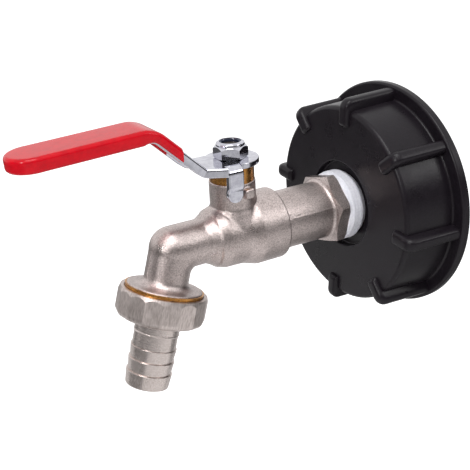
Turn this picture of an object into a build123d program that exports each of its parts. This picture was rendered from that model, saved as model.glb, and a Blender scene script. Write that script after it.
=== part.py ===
from build123d import *
import math
import os

# Tank valve for a one cubic metre liquid container: a screw cap for the container's outlet, and a
# nickel plated brass ball valve with an elbow spout, a lever, a union nut and a barbed hose tail.
# Millimetres. The origin is the centre of the cap's open mouth, +X points out of that mouth along
# the valve's bore, and +Z is up along the stem.

# Tank cap, moulded in polypropylene, for the 60 mm coarse outlet thread
cap_depth = 22.8             # front face to open mouth
cap_front_radius = 35.6      # side wall where it meets the front face
cap_rear_radius = 36.6       # side wall where it meets the flange
cap_wall = 4.2               # thickness of the front wall
cap_edge_radius = 1.6        # rounding of the front edge
flange_radius = 41.3
flange_thickness = 3.4
flange_edge_radius = 0.9
tank_thread_radius = 30.2    # root of the 60 mm thread
tank_thread_length = 12.2
tank_bore_radius = 29.2      # plain bore beyond the thread, where the gasket lies
cap_recess_radius = 15.8     # round recess in front of the valve's port
cap_recess_depth = 2.8
hub_wall = 6.0               # wall round the tapped port inside the cap
hub_length = 7.2             # length of the tapped port
rib_count = 8
rib_first_angle = -5.5       # degrees from -Y towards +Z
rib_width = 5.0
rib_height = 3.8             # how far a rib stands out of the side wall
rib_face_height = 1.8        # how far it stands out of the front face
rib_reach = 6.0              # how far it runs inwards on the front face
rib_corner_radius = 3.4
rib_edge_radius = 1.7
rib_root = 1.0               # how deep it is rooted in the cap
gasket_thickness = 3.0
gasket_clearance = 0.4

# Inlet connector with its half inch pipe thread
port_thread_radius = 10.4    # outside of the half inch pipe thread
thread_clearance = 0.08
thread_showing = 4.8         # tape wound thread between the hexagon and the cap
hex_length = 4.6
hex_flats = 23.0             # across flats
hex_angle = 15.0             # degrees from -Y towards +Z, to a corner
neck_length = 19.8           # round neck from the valve body to the hexagon
connector_neck_radius = 10.2
connector_neck_fillet = 1.2
connector_bore_radius = 6.5
shank_radius = 9.2           # threaded shank inside the valve body
connector_ring_radius = 0.7  # half section of the o-ring on the shank
connector_ring_inset = 1.5   # ring's middle behind the neck's shoulder
tape_radius = 12.7
tape_edge_radius = 1.5

# Valve body, forged brass
chamber_radius = 12.4        # round the inlet end
chamber_front = 15.2         # stem axis to the end face on the inlet side
waist_radius = 10.9          # round the ball, below the stem
waist_end = 0.2              # where the waist begins to widen
chamber_start = 5.2          # where the full radius begins
shoulder_x = -6.4            # where the waist's left end begins to close
crease_x = -9.8              # line between the shoulder and the pipe's cone
crease_radius = 9.5
cone_x = -13.0               # where the cone has come down to the pipe
pipe_radius = 7.6
spout_offset = 23.6          # stem axis to the crossing with the spout's axis
spout_tilt = 18.4            # degrees that the spout leans away from the tank
spout_lean = 4.0             # degrees that it leans to the near side
spout_radius = 7.45
elbow_inner_radius = 2.6
spout_length = 12.5          # crossing to the top of the threaded end
spout_fillet = 2.4
outlet_thread_radius = 13.1  # outside of the three quarter inch pipe thread
outlet_thread_length = 6.1
outlet_counterbore_radius = 8.0
outlet_counterbore_depth = 4.5
port_radius = 5.5            # waterway through the elbow and the ball
cavity_radius = 8.8
cavity_half_length = 8.4     # stem axis to the back of each seat
body_edge_radius = 0.5

# Neck round the stem
neck_radius = 7.75
neck_plated_top = 18.3       # top of the forged neck, above the valve axis
collar_radius = 7.45         # turned collar above it
collar_top = 24.3
neck_base_radius = 8.7       # boss that the neck grows from
neck_base_top = 9.7

# Ball, seats and stem
ball_radius = 8.2
seat_clearance = 0.05
seat_inner_radius = 5.7
seat_front = 4.6             # stem axis to the front of each seat
tang_thickness = 4.0
tang_width = 8.0
tang_bottom = 6.3
tang_clearance = 0.05
stem_radius = 4.5
stem_clearance = 0.05
stem_flange_radius = 6.0
stem_flange_bottom = 9.6
stem_flange_thickness = 1.4
washer_thickness = 0.8
pocket_clearance = 0.2
stem_ring_radius = 0.65      # half section of the stem's o-rings
stem_ring_heights = (14.4, 17.6)
stem_flats = 6.2             # square that drives the lever
stem_thread_radius = 2.95    # six millimetre thread
stem_top = 30.9

# Lever, pressed from steel sheet
sheet = 1.9
plate_gap = 0.3              # collar to the underside of the lever
plate_radius = 9.2
arm_width = 14.4
arm_foot_x = -12.9           # middle of the sheet, measured from the stem axis
arm_bend_x = -29.6
arm_bend_z = 41.2
arm_tip_x = -71.3
grip_droop = 2.84            # degrees that the grip falls towards its tip
arm_foot_radius = 2.5
arm_bend_radius = 9.0
slope_rim_depth = 3.2        # height of the turned down edges along the slope
grip_rim_depth = 3.7         # their height inside the sleeve
plate_rim_depth = 3.0        # their height beside the round plate
rim_bend_radius = 3.0
tab_face = 10.6              # stem axis to the outside of the stop tab
tab_left = -7.1
tab_right = -1.4
tab_joggle = 0.6             # inward step half way down the tab
tab_joggle_z = 19.4
tab_bottom = 14.4
tab_bend_radius = 1.9
far_tab_clearance = 0.2      # inside of the far tab to the neck
far_tab_thickness = 1.5
far_tab_angle = 26.0         # degrees round the plate
lug_bottom = 14.3
lug_top = 17.7
lug_edge_radius = 0.7
lug_face = 10.0              # stem axis to the outside of the stop lug
lug_width = 3.6
stop_gap = 0.8
square_clearance = 0.1

# Sleeve dipped over the lever
sleeve_wall = 0.5
sleeve_end_x = -20.7         # the sleeve's open end
sleeve_slope_depth = 2.9     # top of the sheet to the sleeve's lower edge along the slope
sleeve_edge_radius = 1.3
sleeve_tip_wall = 1.5

# Lock nut, six millimetre
nut_flats = 10.0
nut_hex_height = 4.1
nut_height = 5.4
nut_dome_radius = 4.75
nut_hole_radius = 3.6
nut_ring_radius = 4.1
nut_ring_inner_radius = 3.0
nut_ring_height = 1.5
nut_angle = 30.0

# Union nut
union_facets = 16
union_radius = 14.9          # to the corners
union_facet_angle = 4.3
union_top_gap = 1.4          # threaded end left showing above the nut
union_height = 9.8
union_floor = 1.8
union_thread_clearance = 0.15
union_edge_radius = 2.4
union_mouth_edge = 0.35

# Hose tail and its gasket
outlet_gasket_thickness = 1.8
outlet_gasket_inner_radius = 8.2
outlet_gasket_outer_radius = 12.6
tail_flange_radius = 12.5
tail_flange_thickness = 1.5
tail_radius = 7.5
tail_ring_step = 0.15        # fine ring where the collar ends
tail_collar_end = 28.2       # distances along the spout's axis, from the elbow
tail_barbs = (32.9, 37.2, 41.5)
tail_barb_radius = 7.75
tail_barb_edge_radius = 0.15
tail_barb_root = 7.25
tail_end = 46.5
tail_end_radius = 0.6
tail_bore_radius = 5.75

# Places worked out from the sizes above
stem_x = -(cap_depth + thread_showing + hex_length + neck_length + chamber_front)
valve = Pos(stem_x, 0, 0)
upright = valve * Rot(0, -90, 0)
spout = valve * Pos(-spout_offset, 0, 0) * Rot(0, 90 + spout_tilt, 0) * Rot(0, 0, -spout_lean)
plate_bottom = collar_top + plate_gap
plate_top = plate_bottom + sheet
outlet_face = spout_length + outlet_thread_length
union_mouth = spout_length + union_top_gap
lug_left = tab_right + stop_gap
lug_right = lug_left + lug_width


def turned(profile, place=Location()):
    """Solid turned round the X axis from (along, radius) or (along, radius, rounding) corners."""
    corners = [(point[0], point[1]) for point in profile]
    roundings = [point[2] if len(point) > 2 else 0 for point in profile]
    outline = FilletPolyline(*corners, radius=roundings, close=True)
    return place * revolve(make_face(outline), Axis.X)


def tube(start, end, radius, place=Location()):
    """Plain round bar along the X axis."""
    return turned([(start, 0), (start, radius), (end, radius), (end, 0)], place)


def o_ring(along, inner_radius, section, place):
    """Round rubber ring round the X axis, lying on the given inner radius."""
    return place * Pos(along, 0, 0) * Rot(0, 90, 0) * Torus(inner_radius + section, section)


def offset_corners(corners, distance):
    """Corners of a bent line moved sideways, to its left where the distance is positive."""
    directions = []
    for first, second in zip(corners, corners[1:]):
        length = math.dist(first, second)
        directions.append(((second[0] - first[0]) / length, (second[1] - first[1]) / length))
    moved = []
    for index, corner in enumerate(corners):
        before = directions[max(index - 1, 0)]
        after = directions[min(index, len(directions) - 1)]
        normal = (-(before[1] + after[1]), before[0] + after[0])
        reach = distance / (1 + before[0] * after[0] + before[1] * after[1])
        moved.append((corner[0] + normal[0] * reach, corner[1] + normal[1] * reach))
    return moved


def turn_sign(corners, index):
    """+1 where the bent line turns left at a corner, -1 where it turns right."""
    before = (corners[index][0] - corners[index - 1][0], corners[index][1] - corners[index - 1][1])
    after = (corners[index + 1][0] - corners[index][0], corners[index + 1][1] - corners[index][1])
    return math.copysign(1, before[0] * after[1] - before[1] * after[0])


def bent_sheet(corners, radii, left, right):
    """Face of a sheet that follows a bent line, reaching left and right of it by two distances."""
    sides = []
    for distance in (left, -right):
        side_radii = [
            max(radius - turn_sign(corners, index + 1) * distance, 0.05)
            for index, radius in enumerate(radii)
        ]
        sides.append(FilletPolyline(*offset_corners(corners, distance), radius=side_radii))
    ends = [Line(sides[0] @ end, sides[1] @ end) for end in (0, 1)]
    return make_face(sides[0].edges() + sides[1].edges() + ends[0].edges() + ends[1].edges())


def make_tank_cap():
    """Cap with its front recess, tapped port, open thread and grip ribs."""
    front_inside = -cap_depth + cap_wall
    port_start = -cap_depth + cap_recess_depth
    port = port_thread_radius + thread_clearance
    hub_radius = port + hub_wall
    cap = turned([
        (-cap_depth, cap_recess_radius, 0.5),
        (-cap_depth, cap_front_radius, cap_edge_radius),
        (-flange_thickness, cap_rear_radius, 0.8),
        (-flange_thickness, flange_radius, flange_edge_radius),
        (0, flange_radius, flange_edge_radius),
        (0, tank_thread_radius),
        (-tank_thread_length, tank_thread_radius),
        (-tank_thread_length, tank_bore_radius),
        (front_inside, tank_bore_radius),
        (front_inside, hub_radius),
        (port_start + hub_length, hub_radius, 0.8),
        (port_start + hub_length, port, 0.4),
        (port_start, port, 0.4),
        (port_start, cap_recess_radius, 0.6),
    ])
    return cap + [make_grip_rib(index) for index in range(rib_count)]


def make_grip_rib(index):
    """Rounded rib along the side wall, over the front edge and a little way down the face."""
    front = -cap_depth - rib_face_height
    top_front = cap_front_radius + rib_height
    top_rear = cap_rear_radius + rib_height
    tip = cap_front_radius - rib_reach
    rear = -flange_thickness / 2
    side = make_face(FilletPolyline(
        (rear, top_rear), (front, top_front), (front, tip), (-cap_depth + rib_root, tip),
        (-cap_depth + rib_root, cap_front_radius - rib_root), (rear, cap_rear_radius - rib_root),
        radius=[0, rib_corner_radius, rib_face_height * 0.8, 0, 0, 0], close=True))
    slab = extrude(Plane.XZ * side, rib_width / 2, both=True)
    crest = [
        edge for edge in slab.edges()
        if abs(abs(edge.center().Y) - rib_width / 2) < 0.01
        and (edge.center().Z > cap_front_radius + rib_height / 2
             or edge.center().X < -cap_depth - rib_face_height / 2)
    ]
    rib = fillet(crest, rib_edge_radius)
    angle = rib_first_angle + 360 / rib_count * index
    return Rot(90 - angle, 0, 0) * rib


def make_cap_gasket():
    """Flat gasket at the bottom of the tank thread, round the tapped port."""
    front_inside = -cap_depth + cap_wall
    inner = port_thread_radius + thread_clearance + hub_wall + gasket_clearance
    outer = tank_bore_radius - gasket_clearance
    return turned([
        (front_inside, inner), (front_inside, outer),
        (front_inside + gasket_thickness, outer), (front_inside + gasket_thickness, inner),
    ])


def connector_marks():
    """Places along the connector, from the stem axis: shoulder, both hexagon faces and the tip."""
    hex_start = chamber_front + neck_length
    hex_end = hex_start + hex_length
    return hex_start, hex_end, hex_end + thread_showing + cap_recess_depth + hub_length - 0.5


def make_inlet_connector():
    """Hexagon connector: a shank into the body, a round neck and the pipe thread into the cap."""
    hex_start, hex_end, tip = connector_marks()
    groove = shank_radius - 2 * connector_ring_radius
    ring_middle = chamber_front - connector_ring_inset
    half_groove = connector_ring_radius * 1.2
    bar = turned([
        (cavity_half_length, connector_bore_radius),
        (cavity_half_length, shank_radius, 0.4),
        (ring_middle - half_groove, shank_radius),
        (ring_middle - half_groove, groove),
        (ring_middle + half_groove, groove),
        (ring_middle + half_groove, shank_radius),
        (chamber_front, shank_radius),
        (chamber_front, connector_neck_radius),
        (hex_start + hex_length / 2, connector_neck_radius),
        (hex_start + hex_length / 2, port_thread_radius),
        (tip, port_thread_radius, 0.8),
        (tip, connector_bore_radius),
    ], valve)
    corner_radius = hex_flats / 2 / math.cos(math.radians(30))
    turn = Rot(-hex_angle, 0, 0)
    hexagon = extrude(Plane.YZ * RegularPolygon(corner_radius, 6), hex_length)
    envelope = turned([
        (0, connector_bore_radius), (0, hex_flats / 2 - 0.3), (1.1, corner_radius),
        (hex_length - 0.5, corner_radius), (hex_length, corner_radius - 0.9),
        (hex_length, connector_bore_radius),
    ])
    flare = turned([
        (hex_start - connector_neck_fillet, connector_neck_radius),
        (hex_start, connector_neck_radius + connector_neck_fillet),
        (hex_start + 0.5, connector_neck_radius + connector_neck_fillet),
        (hex_start + 0.5, connector_bore_radius + 1),
        (hex_start - connector_neck_fillet, connector_bore_radius + 1),
    ], valve)
    return bar + valve * Pos(hex_start, 0, 0) * ((turn * hexagon) & envelope) + flare


def make_ptfe_tape():
    """Bulging winding of thread tape between the hexagon and the bottom of the cap's recess."""
    start = connector_marks()[1]
    end = start + thread_showing + cap_recess_depth
    return turned([
        (start, port_thread_radius), (start, tape_radius - 0.7, 0.8),
        (start + 1.6, tape_radius, tape_edge_radius), (end - 2.4, tape_radius, tape_edge_radius),
        (end, tape_radius - 1.4, 0.6), (end, port_thread_radius),
    ], valve)


def make_connector_o_ring():
    """O-ring in the shank's groove."""
    inner = shank_radius - 2 * connector_ring_radius
    return o_ring(chamber_front - connector_ring_inset, inner, connector_ring_radius, valve)


def body_forging():
    """Outside of the valve body: chamber, pipe, elbow, spout, threaded end and neck."""
    chamber = turned([
        (-spout_offset, 0), (-spout_offset, pipe_radius), (cone_x, pipe_radius, 2.5),
        (crease_x, crease_radius, 0.5), (shoulder_x, waist_radius - 0.2, 2.0),
        (waist_end, waist_radius, 2.5), (chamber_start, chamber_radius, 2.0),
        (chamber_front, chamber_radius, body_edge_radius), (chamber_front, 0),
    ], valve)
    corner = valve * Pos(-spout_offset, 0, 0) * Sphere(pipe_radius)
    leg = turned([
        (0, 0), (0, spout_radius), (spout_length, spout_radius, spout_fillet),
        (spout_length, outlet_thread_radius, 0.4), (outlet_face, outlet_thread_radius, 0.5),
        (outlet_face, 0),
    ], spout)
    neck = turned([
        (0, 0), (0, neck_base_radius), (neck_base_top - 1.2, neck_base_radius, 0.8),
        (neck_base_top, neck_radius, 1.2), (neck_plated_top, neck_radius, 0.15),
        (neck_plated_top, collar_radius), (collar_top, collar_radius, 0.4), (collar_top, 0),
    ], upright)
    return chamber + corner + leg + elbow_inside() + neck + stop_lug()


def elbow_inside():
    """Bend that rounds the inner corner between the pipe and the spout."""
    radius = min(pipe_radius, spout_radius) - 0.05
    axis_radius = radius + elbow_inner_radius
    crossing = (valve * Pos(-spout_offset, 0, 0)).position
    down = Plane(spout).x_dir
    between = math.radians(down.get_angle(Vector(1, 0, 0)))
    reach = axis_radius / math.tan(between / 2) * 1.05
    path = FilletPolyline(
        crossing + Vector(reach, 0, 0), crossing, crossing + down * reach, radius=axis_radius)
    start = Plane(origin=path @ 0, z_dir=path % 0)
    return sweep(start * Circle(radius), path)


def stop_lug():
    """Cast lug on the near side of the neck that the lever's tabs come up against."""
    middle = (lug_left + lug_right) / 2
    half = lug_width / 2
    outline = Pos(middle, (lug_bottom + lug_top) / 2) * Rectangle(lug_width, lug_top - lug_bottom)
    low_corners = outline.vertices().sort_by(Axis.Y)[:2]
    face = fillet(low_corners, half * 0.8)
    depth = lug_face - neck_radius / 2
    block = Pos(0, -neck_radius / 2, 0) * extrude(Plane.XZ * face, depth)
    front = block.faces().sort_by(Axis.Y)[0]
    return valve * fillet(front.edges(), lug_edge_radius)


def body_waterway():
    """Everything cut out of the forging: cavity, ports, stem bore and counterbores."""
    shank_bore = shank_radius + thread_clearance
    along = tube(-cavity_half_length, chamber_front + 1, cavity_radius, valve)
    threaded = tube(cavity_half_length, chamber_front + 1, shank_bore, valve)
    outlet = tube(-spout_offset, 0, port_radius, valve)
    corner = valve * Pos(-spout_offset, 0, 0) * Sphere(port_radius)
    drop = tube(0, outlet_face + 1, port_radius, spout)
    mouth = tube(
        outlet_face - outlet_counterbore_depth, outlet_face + 1, outlet_counterbore_radius, spout)
    stem_bore = tube(0, collar_top + 1, stem_radius + stem_clearance, upright)
    pocket_top = stem_flange_bottom + stem_flange_thickness + washer_thickness + stem_clearance
    pocket = tube(0, pocket_top, stem_flange_radius + pocket_clearance, upright)
    return along + threaded + outlet + corner + drop + mouth + stem_bore + pocket


def make_valve_body():
    """Forged body with its waterway cut out."""
    return body_forging() - body_waterway()


def make_ball():
    """Ball with its waterway and the slot that takes the stem's tang."""
    ball = Sphere(ball_radius) - Rot(0, 90, 0) * Cylinder(port_radius, 3 * ball_radius)
    slot_floor = tang_bottom - tang_clearance
    slot = Pos(0, 0, slot_floor + ball_radius / 2) * Box(
        tang_thickness + 2 * tang_clearance, 3 * ball_radius, ball_radius)
    return valve * (ball - slot)


def make_seat(turn):
    """Seat ring beside the ball: on the outlet side, or turned half round to the inlet side."""
    outer = cavity_radius - seat_clearance
    ring = turned([
        (-cavity_half_length, seat_inner_radius), (-cavity_half_length, outer),
        (-seat_front, outer), (-seat_front, seat_inner_radius),
    ])
    return valve * Rot(0, 0, turn) * (ring - Sphere(ball_radius + seat_clearance))


def make_stem():
    """Stem: tang, blow-out flange, two ring grooves, drive square and thread."""
    flange_top = stem_flange_bottom + stem_flange_thickness
    groove = stem_radius - 2 * stem_ring_radius
    half_groove = stem_ring_radius * 1.2
    profile = [
        (stem_flange_bottom, 0), (stem_flange_bottom, stem_flange_radius, 0.3),
        (flange_top, stem_flange_radius, 0.3), (flange_top, stem_radius),
    ]
    for height in stem_ring_heights:
        profile += [
            (height - half_groove, stem_radius), (height - half_groove, groove),
            (height + half_groove, groove), (height + half_groove, stem_radius),
        ]
    profile += [
        (plate_bottom, stem_radius), (plate_bottom, stem_thread_radius),
        (stem_top, stem_thread_radius, 0.4), (stem_top, 0),
    ]
    square = valve * Pos(0, 0, (plate_bottom + plate_top) / 2) * Box(
        stem_flats, stem_flats, sheet)
    tang = valve * Pos(0, 0, (tang_bottom + stem_flange_bottom) / 2 + 0.1) * Box(
        tang_thickness, tang_width, stem_flange_bottom - tang_bottom + 0.2)
    return turned(profile, upright) + square + tang


def make_stem_washer():
    """Low friction washer between the stem's flange and the body."""
    bottom = stem_flange_bottom + stem_flange_thickness
    return turned([
        (bottom, stem_radius + stem_clearance), (bottom, stem_flange_radius),
        (bottom + washer_thickness, stem_flange_radius),
        (bottom + washer_thickness, stem_radius + stem_clearance),
    ], upright)


def make_stem_o_ring(height):
    """O-ring in one of the stem's grooves."""
    return o_ring(height, stem_radius - 2 * stem_ring_radius, stem_ring_radius, upright)


def arm_line():
    """Middle of the sheet in the upright plane, as (x, z) corners that run past plate and tip."""
    middle = plate_bottom + sheet / 2
    end_x = arm_tip_x - arm_width / 2
    drop = (arm_bend_x - end_x) * math.tan(math.radians(grip_droop))
    return [
        (2 * plate_radius, middle), (arm_foot_x, middle), (arm_bend_x, arm_bend_z),
        (end_x, arm_bend_z - drop),
    ]


def arm_plan(width, tip_x):
    """Outline of the lever from above: round plate, tab ears and the arm with its round end."""
    half = width / 2
    strip = make_face(Polyline(
        (tip_x + half, -half), (0, -half), (0, half), (tip_x + half, half), close=True))
    end = Pos(tip_x + half, 0) * Circle(half)
    return strip + end


def plate_plan():
    """Outline of the round plate with the two ears that the stop tabs hang from."""
    half = arm_width / 2
    near_ear = make_face(Polyline(
        (arm_foot_x, -half), (tab_left, -tab_face), (tab_right, -tab_face), (tab_right, 0),
        (arm_foot_x, 0), close=True))
    return Circle(plate_radius) + near_ear


def make_lever_arm():
    """Pressed lever: plate, arm with turned down edges and two stop tabs."""
    line = arm_line()
    radii = [arm_foot_radius, arm_bend_radius]
    outline = plate_plan() + arm_plan(arm_width, arm_tip_x)
    column = extrude(outline, 60)
    sheet_side = bent_sheet(line, radii, sheet / 2, sheet / 2)
    depth = 3 * plate_radius
    blank = extrude(Plane.XZ * sheet_side, depth, both=True) & column
    rim = extrude(Plane.XZ * rim_side(), depth, both=True) & column
    core = extrude(offset(outline, -sheet), 60)
    neck_room = Cylinder(collar_radius + plate_gap, 2 * plate_bottom)
    arm = blank + (rim - core - neck_room)
    arm += make_stop_tab() + make_second_tab()
    hole = Pos(0, 0, plate_bottom) * Box(
        stem_flats + 2 * square_clearance, stem_flats + 2 * square_clearance, 4 * sheet)
    return valve * (arm - hole)


def crossing(first, second, third, fourth):
    """Point where the line through two (x, z) points meets the line through two others."""
    step = (second[0] - first[0], second[1] - first[1])
    other = (fourth[0] - third[0], fourth[1] - third[1])
    gap = (third[0] - first[0], third[1] - first[1])
    share = (gap[0] * other[1] - gap[1] * other[0]) / (step[0] * other[1] - step[1] * other[0])
    return first[0] + share * step[0], first[1] + share * step[1]


def rim_side():
    """Side view of the turned down edges: deepest along the slope, lower along the grip."""
    line = arm_line()
    deep = offset_corners(line, slope_rim_depth - sheet / 2)
    low = offset_corners(line, grip_rim_depth - sheet / 2)
    plate_low = plate_top - plate_rim_depth
    foot = crossing(deep[1], deep[2], (0, plate_low), (1, plate_low))
    bend = crossing(deep[1], deep[2], low[2], low[3])
    return make_face(FilletPolyline(
        (tab_right, line[0][1]), (tab_right, plate_low), foot, bend, low[3], line[3], line[2],
        line[1], radius=[0, 0, rim_bend_radius, rim_bend_radius, 0, 0, 0, 0], close=True))


def make_stop_tab():
    """Near tab, bent down from the plate with a small inward step."""
    middle = plate_bottom + sheet / 2
    outer = tab_face - sheet / 2
    line = [
        (-tab_face / 2, middle), (-outer, middle), (-outer, tab_joggle_z),
        (-outer + tab_joggle, tab_joggle_z - 1.4), (-outer + tab_joggle, tab_bottom),
    ]
    side = bent_sheet(line, [tab_bend_radius, 1.5, 1.5], sheet / 2, sheet / 2)
    slab = Pos(tab_left, 0, 0) * extrude(Plane.YZ * side, tab_right - tab_left)
    low = slab.edges().filter_by(Axis.Y).sort_by(Axis.Z)[:2]
    return fillet(low, 2.0)


def make_second_tab():
    """Far tab, a quarter turn on, that meets the lug's other side when the valve is shut."""
    inner = neck_radius + far_tab_clearance
    height = plate_top - tab_bottom
    start = 90 - math.degrees(math.acos((lug_right + stop_gap) / inner))
    ring = Cylinder(inner + far_tab_thickness, height, arc_size=far_tab_angle) - Cylinder(
        inner, 2 * height)
    return Pos(0, 0, tab_bottom + height / 2) * Rot(0, 0, start) * ring


def sleeve_block(width, tip_x, above, slope_below, grip_below):
    """Block along the sleeve's length, from above to below the middle of the sheet."""
    line = arm_line()
    top = offset_corners(line, -above)
    deep = offset_corners(line, slope_below)
    low = offset_corners(line, grip_below)
    bend = crossing(deep[1], deep[2], low[2], low[3])
    side = make_face(FilletPolyline(
        top[1], top[2], top[3], low[3], bend, deep[1],
        radius=[0, arm_bend_radius + above, 0, 0, rim_bend_radius, 0], close=True))
    slab = extrude(Plane.XZ * side, width, both=True)
    return slab & extrude(arm_plan(width, tip_x), 2 * arm_bend_z)


def make_lever_sleeve(arm):
    """Vinyl sleeve dipped over the lever, inside and out, and cut square at its open end."""
    above = sheet / 2 + sleeve_wall
    outside = sleeve_block(
        arm_width + 2 * sleeve_wall, arm_tip_x - sleeve_tip_wall, above,
        sleeve_slope_depth - sheet / 2, grip_rim_depth + sleeve_wall - sheet / 2)
    reach = 2 * (sleeve_end_x - arm_tip_x)
    outside &= Pos(sleeve_end_x - reach / 2, 0, arm_bend_z) * Box(reach, reach, reach)
    rounded = [
        edge for edge in outside.edges()
        if edge.bounding_box().size.X > 1 and edge.center().X < sleeve_end_x - 1
    ]
    outside = fillet(rounded, sleeve_edge_radius)
    inside_wall = sheet + sleeve_wall
    channel = sleeve_block(
        arm_width - 2 * inside_wall, arm_tip_x + inside_wall, -above, sheet * 4, sheet * 4)
    return valve * (outside - channel) - arm


def make_lever_nut():
    """Lock nut with its hexagon, round collar and the seat of the locking ring."""
    corner = nut_flats / 2 / math.cos(math.radians(30))
    hexagon = extrude(Rot(0, 0, nut_angle) * RegularPolygon(corner, 6), nut_hex_height)
    envelope = Rot(0, -90, 0) * turned([
        (0, 0), (0, nut_flats / 2 - 0.1), (0.5, corner), (nut_hex_height - 0.9, corner),
        (nut_hex_height, nut_flats / 2 - 0.2), (nut_hex_height, 0),
    ])
    dome = Rot(0, -90, 0) * turned([
        (0, 0), (0, nut_dome_radius), (nut_height, nut_dome_radius, 0.9), (nut_height, 0),
    ])
    bore = Cylinder(stem_thread_radius + thread_clearance, 4 * nut_height)
    seat_bottom = nut_height - 0.4 - nut_ring_height
    seat = Pos(0, 0, seat_bottom + nut_ring_height / 2) * Cylinder(
        nut_ring_radius, nut_ring_height)
    mouth = Pos(0, 0, nut_height) * Cylinder(nut_hole_radius, 2 * nut_ring_height)
    return valve * Pos(0, 0, plate_top) * ((hexagon & envelope) + dome - bore - seat - mouth)


def make_nut_locking_ring():
    """Nylon ring held in the top of the lock nut."""
    bottom = plate_top + nut_height - 0.4 - nut_ring_height
    return turned([
        (bottom, nut_ring_inner_radius), (bottom, nut_ring_radius),
        (bottom + nut_ring_height, nut_ring_radius),
        (bottom + nut_ring_height, nut_ring_inner_radius),
    ], upright)


def make_union_nut():
    """Union nut with grip facets, a threaded mouth and a floor that carries the hose tail."""
    prism = extrude(Plane.YZ * RegularPolygon(union_radius, union_facets), union_height)
    envelope = turned([
        (0, 0), (0, union_radius - union_mouth_edge), (union_mouth_edge, union_radius),
        (union_height, union_radius - 0.5, union_edge_radius), (union_height, 0),
    ])
    floor = union_height - union_floor
    thread = tube(-1, floor, outlet_thread_radius + union_thread_clearance)
    hole = tube(floor - 1, union_height + 1, tail_radius + 0.35)
    shell = (Rot(union_facet_angle, 0, 0) * prism & envelope) - thread - hole
    return spout * Pos(union_mouth, 0, 0) * shell


def make_outlet_gasket():
    """Flat rubber gasket between the spout's end and the hose tail."""
    end = outlet_face + outlet_gasket_thickness
    return turned([
        (outlet_face, outlet_gasket_inner_radius), (outlet_face, outlet_gasket_outer_radius),
        (end, outlet_gasket_outer_radius), (end, outlet_gasket_inner_radius),
    ], spout)


def make_hose_tail():
    """Hose tail: flange, collar, plain length and barbs that point back to the nut."""
    top = outlet_face + outlet_gasket_thickness
    plain = tail_radius - tail_ring_step
    profile = [
        (top, tail_bore_radius, 0.5), (top, tail_flange_radius, 0.3),
        (top + tail_flange_thickness, tail_flange_radius, 0.3),
        (top + tail_flange_thickness, tail_radius), (tail_collar_end, tail_radius),
        (tail_collar_end, plain),
    ]
    for start, root in zip(tail_barbs, (plain, tail_barb_root, tail_barb_root)):
        profile += [(start, root), (start, tail_barb_radius, tail_barb_edge_radius)]
    profile += [(tail_end, tail_barb_root, tail_end_radius), (tail_end, tail_bore_radius, 0.4)]
    return turned(profile, spout)


def make_parts():
    """Every piece of the tank valve by its name."""
    arm = make_lever_arm()
    return {
        "tank_cap": make_tank_cap(),
        "cap_gasket": make_cap_gasket(),
        "inlet_connector": make_inlet_connector(),
        "ptfe_tape": make_ptfe_tape(),
        "connector_o_ring": make_connector_o_ring(),
        "valve_body": make_valve_body(),
        "ball": make_ball(),
        "inlet_seat": make_seat(180),
        "outlet_seat": make_seat(0),
        "stem": make_stem(),
        "stem_thrust_washer": make_stem_washer(),
        "stem_o_ring_lower": make_stem_o_ring(stem_ring_heights[0]),
        "stem_o_ring_upper": make_stem_o_ring(stem_ring_heights[1]),
        "lever_arm": arm,
        "lever_sleeve": make_lever_sleeve(arm),
        "lever_nut": make_lever_nut(),
        "nut_locking_ring": make_nut_locking_ring(),
        "union_nut": make_union_nut(),
        "outlet_gasket": make_outlet_gasket(),
        "hose_tail": make_hose_tail(),
    }


os.makedirs("parts", exist_ok=True)
for name, solid in make_parts().items():
    export_step(solid, f"parts/{name}.step")
    print(name, round(solid.volume, 1))
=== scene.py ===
import logging
import math
from dataclasses import dataclass
from enum import Enum
from typing import ClassVar

import bmesh
import bpy
import numpy as np
from mathutils import Matrix, Vector


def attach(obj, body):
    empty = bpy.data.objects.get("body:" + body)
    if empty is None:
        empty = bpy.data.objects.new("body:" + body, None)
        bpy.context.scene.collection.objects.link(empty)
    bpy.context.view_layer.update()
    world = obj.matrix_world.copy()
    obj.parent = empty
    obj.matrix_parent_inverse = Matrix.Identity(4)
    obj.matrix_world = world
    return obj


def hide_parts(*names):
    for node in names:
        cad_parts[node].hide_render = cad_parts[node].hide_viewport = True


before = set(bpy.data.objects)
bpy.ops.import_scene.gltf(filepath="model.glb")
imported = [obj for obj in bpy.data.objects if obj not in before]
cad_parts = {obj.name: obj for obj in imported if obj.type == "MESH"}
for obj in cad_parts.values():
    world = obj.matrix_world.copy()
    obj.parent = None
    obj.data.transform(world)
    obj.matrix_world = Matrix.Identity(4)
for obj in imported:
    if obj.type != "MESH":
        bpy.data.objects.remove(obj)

log = logging.getLogger("tank_valve")
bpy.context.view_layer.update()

MM = 0.001
STEM_X = -67.2          # stem axis from the centre of the cap's mouth, in millimetres
SPOUT_OFFSET = 23.6     # stem axis to the crossing with the spout's axis
SPOUT_TILT = 18.4       # degrees that the spout leans away from the tank
SPOUT_LEAN = 4.0        # degrees that it leans to the near side
TAU = 2 * math.pi
WHITE = (1.0, 1.0, 1.0, 1.0)
ARC_STEP = 9.0          # degrees between neighbouring points of a rounded corner
WELD = 2e-6             # metres within which points of a seam become one

STUDIO_MIDDLE = (-0.07, 0.0, 0.0)   # where the lamps point and the cards stand round, in metres

Corner = tuple[float, float, float]


def turn_about(axis: str, degrees: float) -> np.ndarray:
    """Rotation matrix about one axis.

    Args:
        axis: "X", "Y" or "Z".
        degrees: Angle by the right-hand rule.

    Returns:
        A 4 by 4 array.
    """
    return np.array(Matrix.Rotation(math.radians(degrees), 4, axis))


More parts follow.
